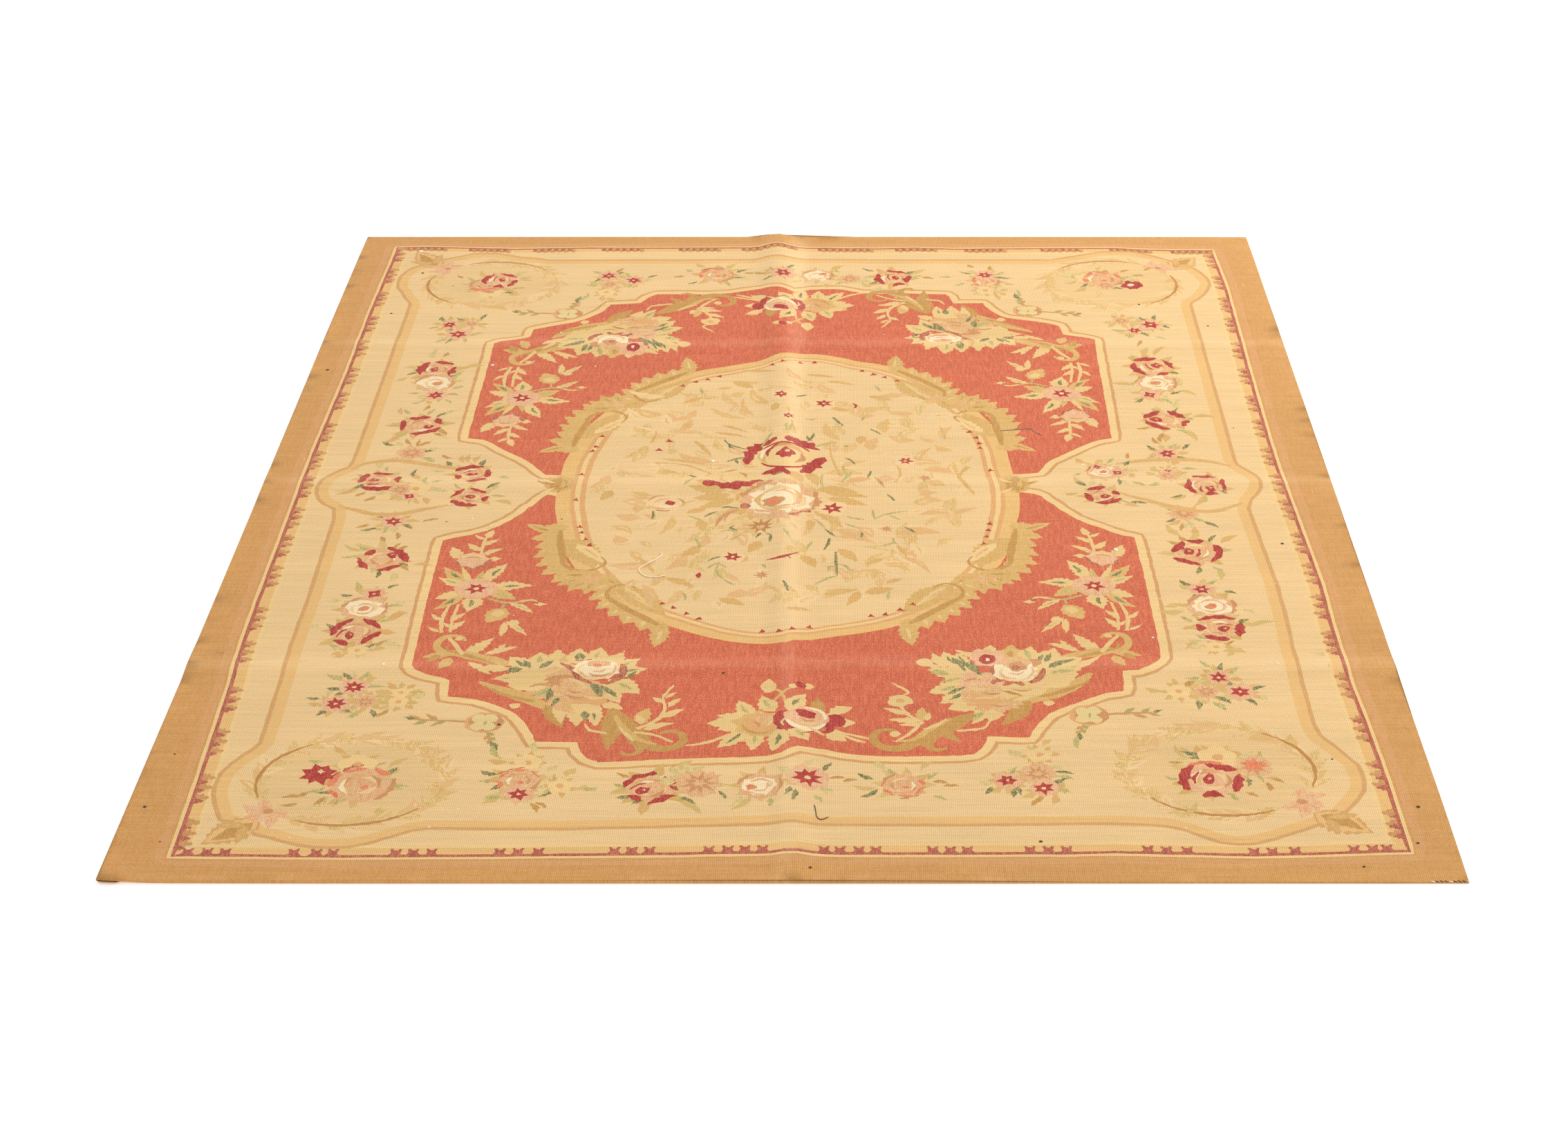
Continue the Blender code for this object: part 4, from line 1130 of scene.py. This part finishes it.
TREES = (
    (MOSS, (88, -300), (90, -370), (92, -410)), (SAGE, (90, -370), (76, -366), (72, -386)),
    (SAGE, (92, -355), (110, -364), (120, -388)), (SAGE, (92, -408), (70, -420), (44, -446)),
    (SAGE, (-164, -346), (-168, -390), (-150, -424)), (SAGE, (-150, -424), (-140, -436), (-126, -448)),
    (SAGE, (-166, -352), (-176, -360), (-188, -374)), (SAGE, (-166, -352), (-156, -362), (-146, -374)),
    (SAGE, (34, -146), (52, -166), (66, -198)), (MOSS, (66, -198), (76, -214), (88, -230)),
    (SAGE, (174, -150), (200, -126), (250, -108)), (SAGE, (174, -150), (172, -124), (170, -102)),
    (SAGE, (206, -128), (218, -140), (232, -152)), (MOSS, (74, -236), (72, -262), (62, -292)),
    (SAGE, (36, -252), (30, -270), (24, -292)), (SAGE, (-222, -236), (-214, -258), (-208, -282)),
    (SAGE, (214, -238), (216, -258), (226, -266)), (SAGE, (216, -258), (204, -266), (192, -272)),
    (MOSS, (-176, 250), (-164, 226), (-124, 200)), (MOSS, (-164, 226), (-162, 212), (-150, 204)),
    (MOSS, (-166, 136), (-150, 148), (-122, 160)), (MOSS, (-150, 148), (-144, 138), (-140, 126)),
    (SAGE, (-64, 282), (-76, 246), (-88, 212)), (MOSS, (34, 288), (30, 262), (18, 242)),
    (MOSS, (18, 272), (20, 258), (30, 246)), (SAGE, (36, 214), (62, 228), (90, 240)),
    (MOSS, (108, 155), (120, 146), (132, 120)), (SAGE, (102, 110), (112, 60), (98, 22)),
    (SAGE, (122, 78), (116, 56), (102, 34)), (MOSS, (168, 88), (164, 68), (160, 48)),
    (SAGE, (56, 72), (54, 30), (60, -6)), (MOSS, (78, 374), (90, 350), (102, 326)),
    (SAGE, (12, 364), (28, 360), (42, 368)), (MOSS, (-12, 482), (0, 490), (14, 498)),
    (SAGE, (146, 352), (152, 368), (158, 382)), (MOSS, (168, 308), (180, 296), (192, 280)),
    (SAGE, (-30, 330), (-32, 310), (-30, 286)), (SAGE, (-18, 330), (-22, 306), (-20, 290)),
    (SAGE, (-246, 540), (-244, 524), (-240, 506)), (SAGE, (182, 552), (188, 534), (196, 518)),
    (SAGE, (-260, 14), (-252, 32), (-238, 48)), (MOSS, (-250, 66), (-240, 58), (-232, 52)),
    (MOSS, (-52, 58), (-44, 66), (-36, 72)), (MOSS, (-170, -94), (-154, -90), (-132, -96)),
    (MOSS, (-206, -138), (-194, -124), (-178, -112)), (SAGE, (-242, -132), (-224, -146), (-208, -154)),
    (MOSS, (-322, -110), (-320, -128), (-322, -148)), (MOSS, (-136, -178), (-146, -190), (-128, -204)),
    (SAGE, (-170, -212), (-150, -200), (-130, -210)), (SAGE, (-144, -246), (-130, -232), (-122, -220)),
    (MOSS, (-88, -236), (-80, -218), (-76, -216)), (MOSS, (-66, -220), (-56, -226), (-56, -260)),
    (SAGE, (-28, -206), (-18, -228), (-12, -250)), (MOSS, (238, -184), (250, -196), (264, -214)),
    (MOSS, (204, -28), (212, -42), (220, -60)), (MOSS, (146, -210), (146, -222), (144, -234)),
    (SAGE, (112, -136), (130, -146), (152, -152)), (SAGE, (108, -170), (124, -182), (142, -192)),
    (SAGE, (-236, -480), (-230, -494), (-228, -512)), (SAGE, (202, -478), (200, -492), (200, -510)),
    (MOSS, (-190, -342), (-176, -330), (-162, -322)), (MOSS, (-24, -440), (-16, -462), (-12, -486)),
    (SAGE, (-72, -356), (-66, -366), (-62, -376)),
)
for yarn, start, middle, end in TREES:
    ribbon(yarn, [start, middle, end], 3.0, 8.0, 3.0, step=7.0, sway=1.0)


# The weaving: the patches are cut into one sheet of small faces, each of a single yarn, on the
# cloth's soft fold ridges. A coarse underside and the thin edges close it.
MM = 0.001
THICKNESS = 0.003
Ridge = namedtuple("Ridge", "near_x far_x near_height far_height near_half_width far_half_width")
LENGTHWISE = Ridge(0.020, -0.083, 0.006, 0.010, 0.050, 0.070)
Crease = namedtuple("Crease", "y height half_width swing phase")
CROSSWISE = (
    Crease(0.800, 0.0050, 0.060, 0.30, 0.4), Crease(0.036, 0.0035, 0.055, 0.45, 2.1),
    Crease(-0.780, 0.0055, 0.060, 0.35, 3.6),
)
CREASE_WAVE = 1.30
SLACK_HEIGHT = 0.0022
SLACK_DEPTH = 0.120
SLACK_WAVE = 0.62
CORNER_LIFT = 0.006
CORNER_REACH = 0.100
MESH_PITCH = 0.032
FOLD_PITCH = 0.010
UNDERSIDE_PITCH = 0.060


def bump(distance, reach):
    share = np.minimum(np.abs(distance) / reach, 1.0)
    return 0.5 + 0.5 * np.cos(np.pi * share)


def floor_gap(x, y):
    """How far the underside stands off the floor at places x and y, arrays in metres."""
    share = y / (2 * END * MM) + 0.5
    crest = LENGTHWISE.near_x + (LENGTHWISE.far_x - LENGTHWISE.near_x) * share
    reach = LENGTHWISE.near_half_width
    reach = reach + (LENGTHWISE.far_half_width - LENGTHWISE.near_half_width) * share
    height = LENGTHWISE.near_height + (LENGTHWISE.far_height - LENGTHWISE.near_height) * share
    along = height * bump(x - crest, reach)
    across = sum(
        fold.height
        * (1.0 - fold.swing * (0.5 + 0.5 * np.cos(2 * np.pi * x / CREASE_WAVE + fold.phase)))
        * bump(y - fold.y, fold.half_width)
        for fold in CROSSWISE
    )
    from_side, from_end = SIDE * MM - np.abs(x), END * MM - np.abs(y)
    wave = 0.5 - 0.5 * np.cos(2 * np.pi * from_end / SLACK_WAVE)
    slack = SLACK_HEIGHT * wave * bump(from_side, SLACK_DEPTH)
    corner = CORNER_LIFT * bump(np.hypot(x + SIDE * MM, y + END * MM), CORNER_REACH)
    return np.maximum(np.hypot(along, across), np.maximum(slack, corner))


def lines(half, close_bands, pitch):
    """Mesh lines from -half to half, closer together in each of the close bands."""
    at = list(np.arange(-half + pitch, half - pitch / 2, pitch))
    for start, stop in close_bands:
        at += list(np.arange(start, stop, FOLD_PITCH))
    return sorted(at)


def topmost(points):
    """For each of the points, in millimetres, the number of the patch that lies on top there."""
    order = np.argsort(points[:, 1], kind="stable")
    x, y = points[order].T
    top = np.zeros(len(points), int)
    for number, (_, starts) in enumerate(patches):
        ends = np.roll(starts, -1, axis=0)
        first, last = np.searchsorted(y, (starts[:, 1].min(), starts[:, 1].max()))
        lows = np.searchsorted(y, np.minimum(starts[:, 1], ends[:, 1]))
        highs = np.searchsorted(y, np.maximum(starts[:, 1], ends[:, 1]))
        turns = np.zeros(last - first, int)
        for (x0, y0), (x1, y1), low_row, high_row in zip(starts, ends, lows, highs):
            if low_row < high_row:
                edge = x0 + (y[low_row:high_row] - y0) * ((x1 - x0) / (y1 - y0))
                turns[low_row - first:high_row - first] += (x[low_row:high_row] < edge) * (1 if y1 > y0 else -1)
        top[first:last][turns != 0] = number
    found = np.empty(len(points), int)
    found[order] = top
    return found


def woven_sheet(outlines, columns, rows, hidden=()):
    """Flat triangles, in metres, cut along every outline, with extra points on a grid. Outline
    points that are hidden under a later patch are left out, two neighbours at a time."""
    points, edges = [], []
    hidden = np.array(hidden, bool) if len(hidden) else np.zeros(sum(len(o) for o in outlines), bool)
    at = 0
    for outline in outlines:
        count = len(outline)
        shown = ~hidden[at:at + count]
        kept = shown | np.roll(shown, 1) | np.roll(shown, -1)
        names = np.cumsum(kept) - 1 + len(points)
        points += [Vector((x * MM, y * MM)) for x, y in outline[kept]]
        for k in range(count):
            after = (k + 1) % count
            if kept[k] and kept[after] and (shown[k] or shown[after]):
                edges.append((int(names[k]), int(names[after])))
        at += count
    points += [Vector((x, y)) for x in columns for y in rows]
    verts, _, faces = delaunay_2d_cdt(points, edges, [], 1, 0.00005, False)[:3]
    return np.array([(v.x, v.y) for v in verts]), np.array(faces)


def linear(colour):
    """A colour given as it looks on a screen, 0 to 255, as the shader wants it."""
    share = np.array(colour, float) / 255.0
    return np.where(share <= 0.04045, share / 12.92, ((share + 0.055) / 1.055) ** 2.4)


ridge_band = (LENGTHWISE.far_x - LENGTHWISE.far_half_width, LENGTHWISE.near_x + LENGTHWISE.near_half_width)
crease_bands = [(fold.y - fold.half_width, fold.y + fold.half_width) for fold in CROSSWISE]
columns = lines(SIDE * MM, [ridge_band], MESH_PITCH)
rows = lines(END * MM, crease_bands, MESH_PITCH)
owners = np.repeat(np.arange(len(patches)), [len(outline) for _, outline in patches])
covered = topmost(np.concatenate([outline for _, outline in patches])) > owners
flat, faces = woven_sheet([outline for _, outline in patches], columns, rows, covered)
rim = patches[0][1]
under_columns = lines(SIDE * MM, [ridge_band], UNDERSIDE_PITCH)
under_rows = lines(END * MM, crease_bands, UNDERSIDE_PITCH)
under_flat, under_faces = woven_sheet([rim], under_columns[::2], under_rows[::2])

bm = bmesh.new()
number_layer = bm.faces.layers.int.new("patch")


def add_sheet(flat, faces, lift, flip):
    heights = floor_gap(flat[:, 0], flat[:, 1]) + lift
    verts = [bm.verts.new((x, y, z)) for (x, y), z in zip(flat, heights)]
    return [bm.faces.new([verts[i] for i in (face[::-1] if flip else face)]) for face in faces]


upper = add_sheet(flat, faces, THICKNESS, False)
for face, number in zip(upper, topmost(flat[faces].mean(axis=1) / MM)):
    face[number_layer] = int(number) + 1
add_sheet(under_flat, under_faces, 0.0, True)
bmesh.ops.bridge_loops(bm, edges=[edge for edge in bm.edges if edge.is_boundary])
bmesh.ops.recalc_face_normals(bm, faces=bm.faces)
for face in bm.faces:
    face.smooth = True
mesh = bpy.data.meshes.new("woven rug")
bm.to_mesh(mesh)
bm.free()

UNDERSIDE_STRIP = 0.05
worn_by = np.zeros(len(mesh.polygons), int)
mesh.attributes["patch"].data.foreach_get("value", worn_by)
mesh.attributes.remove(mesh.attributes["patch"])
corners = np.zeros(len(mesh.loops), int)
mesh.loops.foreach_get("vertex_index", corners)
sizes = np.zeros(len(mesh.polygons), int)
mesh.polygons.foreach_get("loop_total", sizes)
number = np.repeat(worn_by, sizes)
spots = np.zeros(3 * len(mesh.vertices))
mesh.vertices.foreach_get("co", spots)
spots = spots.reshape(-1, 3)[corners]
across = 0.5 + spots[:, 0] / (2.04 * SIDE * MM)
along = 0.5 + spots[:, 1] / (2.04 * END * MM)
along = np.where(number > 0, UNDERSIDE_STRIP + (1 - UNDERSIDE_STRIP) * along, UNDERSIDE_STRIP * (0.1 + 0.7 * along))
uv = mesh.uv_layers.new(name="OFBake")
uv.data.foreach_set("uv", np.stack([across, along], axis=1).ravel())
shades = np.array([(*linear(yarn.colour), 1.0, *linear(yarn.fleck), yarn.share) for yarn, _ in patches])
shades = shades[np.maximum(number - 1, 0)]
for name, shade in (("yarn", shades[:, :4]), ("fleck", shades[:, 4:])):
    layer = mesh.color_attributes.new(name=name, type="FLOAT_COLOR", domain="CORNER")
    layer.data.foreach_set("color", shade.ravel())
rug = bpy.data.objects.new("woven-rug", mesh)
bpy.context.scene.collection.objects.link(rug)


# The wool: matt weft yarn packed over the warp, which shows as fine ribs along the rug, with
# painted shade darkening their grooves. Every yarn is flecked with a second shade, dyed unevenly, and
# worn pale along the folds, where a painted highlight on the fold ridges is mixed in as well.
class Value:
    """A shader socket with Python's operators: each one adds a Math node."""

    def __init__(self, tree, socket):
        self.tree = tree
        self.socket = socket

    def node(self, kind, settings=(), **inputs):
        """Adds a node, sets its settings, then fills its sockets by name or number."""
        node = self.tree.nodes.new(kind)
        for name, value in dict(settings).items():
            setattr(node, name, value)
        for name, value in inputs.items():
            socket = node.inputs[int(name[1:]) if name[0] == "_" else name.replace("_", " ")]
            if isinstance(value, Value):
                self.tree.links.new(value.socket, socket)
            else:
                socket.default_value = value
        return node

    def out(self, kind, settings=(), result=0, **inputs):
        return Value(self.tree, self.node(kind, settings, **inputs).outputs[result])

    def math(self, operation, a, b=0.0):
        return self.out("ShaderNodeMath", {"operation": operation}, _0=a, _1=b)

    def __add__(self, other):
        return self.math("ADD", self, other)

    def __sub__(self, other):
        return self.math("SUBTRACT", self, other)

    def __rsub__(self, other):
        return self.math("SUBTRACT", other, self)

    def __mul__(self, other):
        return self.math("MULTIPLY", self, other)

    def __truediv__(self, other):
        return self.math("DIVIDE", self, other)

    __radd__ = __add__
    __rmul__ = __mul__

    def power(self, exponent):
        return self.math("POWER", self, exponent)

    def sine(self):
        return self.math("SINE", self)

    def size(self):
        return self.math("ABSOLUTE", self)

    def fade(self, start, stop):
        """Runs smoothly from 0 at start to 1 at stop."""
        settings = {"interpolation_type": "SMOOTHSTEP"}
        return self.out("ShaderNodeMapRange", settings, _0=self, _1=start, _2=stop)

    def mix(self, a, b):
        """A colour between a and b, by this share."""
        return self.out("ShaderNodeMix", {"data_type": "RGBA"}, 2, _0=self, _6=a, _7=b)


RIB_PITCH = 0.0036
PICK_PITCH = 0.0016

wool = bpy.data.materials.new("woven wool")
wool.use_nodes = True
shader = wool.node_tree.nodes["Principled BSDF"]
shader.inputs["Roughness"].default_value = 0.92
shader.inputs["Metallic"].default_value = 0.0
shader.inputs["Specular IOR Level"].default_value = 0.15
shader.inputs["Sheen Weight"].default_value = 0.06
shader.inputs["Sheen Roughness"].default_value = 0.5
start = Value(wool.node_tree, None)
place = start.out("ShaderNodeTexCoord", result=3)
split = start.node("ShaderNodeSeparateXYZ", _0=place)
x, y = (Value(wool.node_tree, split.outputs[k]) for k in (0, 1))


def noise(across, along, detail=2.0, roughness=0.5):
    """Noise about 0.5, with so many lumps a metre across and along the rug."""
    scaled = start.out("ShaderNodeVectorMath", {"operation": "MULTIPLY"}, _0=place, _1=(across, along, 1.0))
    return start.out("ShaderNodeTexNoise", _0=scaled, Scale=1.0, Detail=detail, Roughness=roughness)


yarn_node = start.node("ShaderNodeAttribute", {"attribute_name": "yarn"})
fleck_node = start.node("ShaderNodeAttribute", {"attribute_name": "fleck"})
yarn_colour = Value(wool.node_tree, yarn_node.outputs["Color"])
fleck_colour = Value(wool.node_tree, fleck_node.outputs["Color"])
fleck_share = Value(wool.node_tree, fleck_node.outputs["Alpha"])

rib = (x * (2 * math.pi / RIB_PITCH) + noise(45, 40, 3.0) * 4.0).sine() * 0.5 + 0.5
flecks = noise(300, 240, 2.0)
threads = noise(480, 320, 2.0, 0.6)
strands = noise(150, 26, 2.0, 0.6)
dye = noise(3.2, 7, 3.0, 0.6)
bands = noise(1.1, 75, 3.0, 0.65)
courses = noise(7, 250, 2.0, 0.6)
speckle = (flecks * 0.7 + threads * 0.4 + strands * 0.4 + fleck_share * 0.5).fade(0.86, 1.02)
colour = speckle.mix(yarn_colour, fleck_colour)
shade = (courses - 0.5) * 0.36 + (threads - 0.5) * 0.85 + (strands - 0.5) * 0.26 + (flecks - 0.5) * 0.40
shade = (dye - 0.5) * 0.16 + (bands - 0.5) * 0.16 + shade
# The fold ridges are lightened in the colour, partly as real wear and partly as painted highlight, more strongly
# towards the far end.
crest = x + y * 0.007 + 0.010
spread = y * 0.006 + 0.034
fold_wear_and_highlight = 1.0 - ((crest.size() + (noise(24, 5, 3.0) - 0.5) * 0.060) / spread).fade(0.0, 1.0)
crosswise_wear_and_highlight = 0.0
for fold in CROSSWISE:
    strip = 1.0 - ((y - fold.y).size() + (noise(5, 22, 3.0) - 0.5) * 0.050).fade(0.000, 0.036)
    crosswise_wear_and_highlight = strip * 0.055 + crosswise_wear_and_highlight
wear_and_highlight = fold_wear_and_highlight * (y * 0.020 + 0.070) + crosswise_wear_and_highlight
# The rib grooves are darkened in the colour here: painted shade between the ribs.
shade = shade - (1.0 - rib) * 0.19 + wear_and_highlight + 1.075
colour = start.out("ShaderNodeVectorMath", {"operation": "SCALE"}, _0=colour, Scale=shade)
# Mixes the colour towards pale cream along the folds: wear and painted highlight.
colour = (wear_and_highlight * 0.9).mix(colour, (0.95, 0.80, 0.58, 1.0))
wool.node_tree.links.new(colour.socket, shader.inputs["Base Color"])
pick = (y * (2 * math.pi / PICK_PITCH)).sine() * 0.5 + 0.5
height = rib.power(0.6) + pick * 0.15 + threads * 0.4
bump_node = start.node("ShaderNodeBump", Strength=0.35, Distance=0.0008, Height=height)
wool.node_tree.links.new(bump_node.outputs["Normal"], shader.inputs["Normal"])
mesh.materials.append(wool)
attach(rug, "root")
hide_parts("rug")


# The loose bits on the cloth: three yarn ends that lie across it, crumbs of lint and dark specks
# caught in the weave, and at the near corners a lip of the turned hem, a dark strand that paints
# the shadow in the gap under the lifted corner, and a few overcast stitches.
def plain(name, colour):
    material = bpy.data.materials.new(name)
    material.use_nodes = True
    material.node_tree.nodes["Principled BSDF"].inputs["Base Color"].default_value = (*linear(colour), 1.0)
    material.node_tree.nodes["Principled BSDF"].inputs["Roughness"].default_value = 0.9
    return material


def add_piece(name, mesh, material):
    mesh.materials.append(material)
    piece = bpy.data.objects.new(name, mesh)
    bpy.context.scene.collection.objects.link(piece)
    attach(piece, "root")


def on_cloth(x, y, above):
    """The place above the cloth at x and y in millimetres."""
    height = floor_gap(np.array([x * MM]), np.array([y * MM]))[0] + THICKNESS
    return Vector((x * MM, y * MM, height + above * MM))


def yarn_end(name, points, radius, material, lift=0.0):
    """A round strand along a smooth line of points in millimetres, lying on the cloth."""
    line = [on_cloth(x, y, radius + lift) for x, y in smooth(points, step=5.0)]
    bm = bmesh.new()
    rings = []
    for k, spot in enumerate(line):
        along = (line[min(k + 1, len(line) - 1)] - line[max(k - 1, 0)]).normalized()
        side = along.cross(Vector((0.0, 0.0, 1.0))).normalized()
        up = side.cross(along)
        thin = radius * MM * (0.45 if k in (0, len(line) - 1) else 1.0)
        angles = [math.pi / 3 * turn for turn in range(6)]
        rings.append([bm.verts.new(spot + (side * math.cos(a) + up * math.sin(a)) * thin) for a in angles])
    for near_ring, far_ring in zip(rings, rings[1:]):
        for turn in range(6):
            after = (turn + 1) % 6
            bm.faces.new((near_ring[turn], near_ring[after], far_ring[after], far_ring[turn]))
    bm.faces.new(rings[0][::-1])
    bm.faces.new(rings[-1])
    bmesh.ops.recalc_face_normals(bm, faces=bm.faces)
    mesh = bpy.data.meshes.new(name)
    bm.to_mesh(mesh)
    bm.free()
    add_piece(name, mesh, material)


def crumbs(name, spots, radius, material):
    """Small uneven lumps at the spots, in millimetres, pressed half into the cloth."""
    bm = bmesh.new()
    for x, y in spots:
        size = radius * chance.uniform(0.6, 1.3)
        lump = bmesh.ops.create_icosphere(bm, subdivisions=1, radius=size * MM)["verts"]
        for vert in lump:
            vert.co = Vector((vert.co.x * chance.uniform(0.8, 1.6), vert.co.y * chance.uniform(0.8, 1.2), vert.co.z * 0.5))
        bmesh.ops.translate(bm, verts=lump, vec=on_cloth(x, y, size * 0.2))
    mesh = bpy.data.meshes.new(name)
    bm.to_mesh(mesh)
    bm.free()
    add_piece(name, mesh, material)


chance = random.Random(33)
DARK_YARN = plain("dark yarn", (70, 66, 60))
GREY_YARN = plain("grey yarn", (150, 140, 124))
CREAM_YARN = plain("cream yarn", (252, 238, 206))
WHITE_LINT = plain("white lint", (255, 252, 244))
DARK_SPECK = plain("dark speck", (74, 62, 48))
yarn_end("dark-yarn", [(53, -1282), (56, -1305), (58, -1321), (66, -1330), (80, -1321)], 0.8, DARK_YARN)
yarn_end("grey-yarn", [(476, 298), (500, 302), (521, 305), (542, 310), (553, 304), (560, 288), (574, 275)], 0.8, GREY_YARN)
CREAM_LOOP = [(-294, -305), (-289, -316), (-302, -337), (-331, -371), (-334, -387), (-320, -410), (-297, -416), (-276, -408)]
yarn_end("cream-yarn", CREAM_LOOP, 1.3, CREAM_YARN)
LINT_SPOTS = ((-199, 137), (-773, 670), (-823, -782), (658, 120), (-1057, 1417), (700, -293), (742, -670))
crumbs("lint", LINT_SPOTS, 4.2, WHITE_LINT)
FINE_LINT = [(chance.uniform(-SIDE, SIDE) * 0.97, chance.uniform(-END, END) * 0.97) for _ in range(60)]
crumbs("fine-lint", FINE_LINT, 1.6, WHITE_LINT)
SPECK_SPOTS = (
    (-135, -813), (48, -1484), (1039, -1126), (877, 1051), (1042, 914), (466, -1400), (-565, -1003), (-1030, 1264),
    (-1074, 993), (-938, 1178), (-523, -149), (-778, -162), (1032, 314), (1066, -264), (111, 217), (150, 639),
    (-1135, -1400), (-1188, -1290), (-1172, -1110), (1150, -1405), (1172, -1290), (1040, -1478), (-1180, 640),
)
crumbs("specks", SPECK_SPOTS, 2.6, DARK_SPECK)
# Painted shadow: a dark strand laid in the gap under the lifted corner, where there is only shade.
PAINTED_HEM_SHADOW = plain("painted hem shadow", (54, 38, 26))
yarn_end("hem-shadow", [(-1219, -1525), (-1206, -1526.5), (-1190, -1526.5), (-1178, -1525)], 0.8, PAINTED_HEM_SHADOW, -3.4)
yarn_end("hem-lip", [(-1217, -1526), (-1208, -1527.5), (-1194, -1527.5), (-1183, -1526)], 1.5, plain("hem", (206, 160, 112)), -5.6)
for k in range(9):
    x = 1152 + 8 * k
    slant = [(x, -1520 + chance.uniform(-2, 1)), (x + 3, -1524), (x + 6, -1525.4)]
    yarn_end("stitch-" + str(k + 1), slant, 0.9, DARK_YARN if k % 4 else CREAM_YARN, -0.5)


# The studio: a plain pale floor, a soft light from the far right, and the camera, which stands
# behind the near end at head height and looks down along the rug.
FLOOR_GAP = 0.0006
floor_mesh = bpy.data.meshes.new("floor")
bm = bmesh.new()
bmesh.ops.create_grid(bm, x_segments=1, y_segments=1, size=30.0)
bmesh.ops.translate(bm, verts=bm.verts, vec=(0.0, 0.0, -FLOOR_GAP))
bm.to_mesh(floor_mesh)
bm.free()
floor = bpy.data.objects.new("floor", floor_mesh)
bpy.context.scene.collection.objects.link(floor)
pale = bpy.data.materials.new("pale floor")
pale.use_nodes = True
pale_shader = pale.node_tree.nodes["Principled BSDF"]
pale_shader.inputs["Base Color"].default_value = (0.96, 0.96, 0.955, 1.0)
pale_shader.inputs["Roughness"].default_value = 0.9
pale_shader.inputs["Emission Color"].default_value = (1.0, 1.0, 1.0, 1.0)
pale_shader.inputs["Emission Strength"].default_value = 0.35
floor_mesh.materials.append(pale)


def soft_light(name, place, size, power):
    lamp = bpy.data.lights.new(name, "AREA")
    lamp.shape = "SQUARE"
    lamp.size = size
    lamp.energy = power
    light = bpy.data.objects.new(name, lamp)
    light.location = place
    light.rotation_euler = (-Vector(place)).to_track_quat("-Z", "Y").to_euler()
    bpy.context.scene.collection.objects.link(light)


soft_light("far right light", (4.2, 3.6, 4.2), 4.0, 250.0)
world = bpy.data.worlds.new("studio")
world.use_nodes = True
world.node_tree.nodes["Background"].inputs["Color"].default_value = (1.0, 1.0, 1.0, 1.0)
world.node_tree.nodes["Background"].inputs["Strength"].default_value = 0.78
bpy.context.scene.world = world
bpy.context.scene.view_settings.view_transform = "Standard"

camera = bpy.data.cameras.new("camera")
camera.sensor_width = 36.0
camera.lens = 61.26
camera.shift_x = -0.0417
seat = bpy.data.objects.new("camera", camera)
seat.location = (0.118, -5.402, 2.788)
seat.rotation_euler = (math.radians(61.16), 0.0, 0.0)
bpy.context.scene.collection.objects.link(seat)
bpy.context.scene.camera = seat
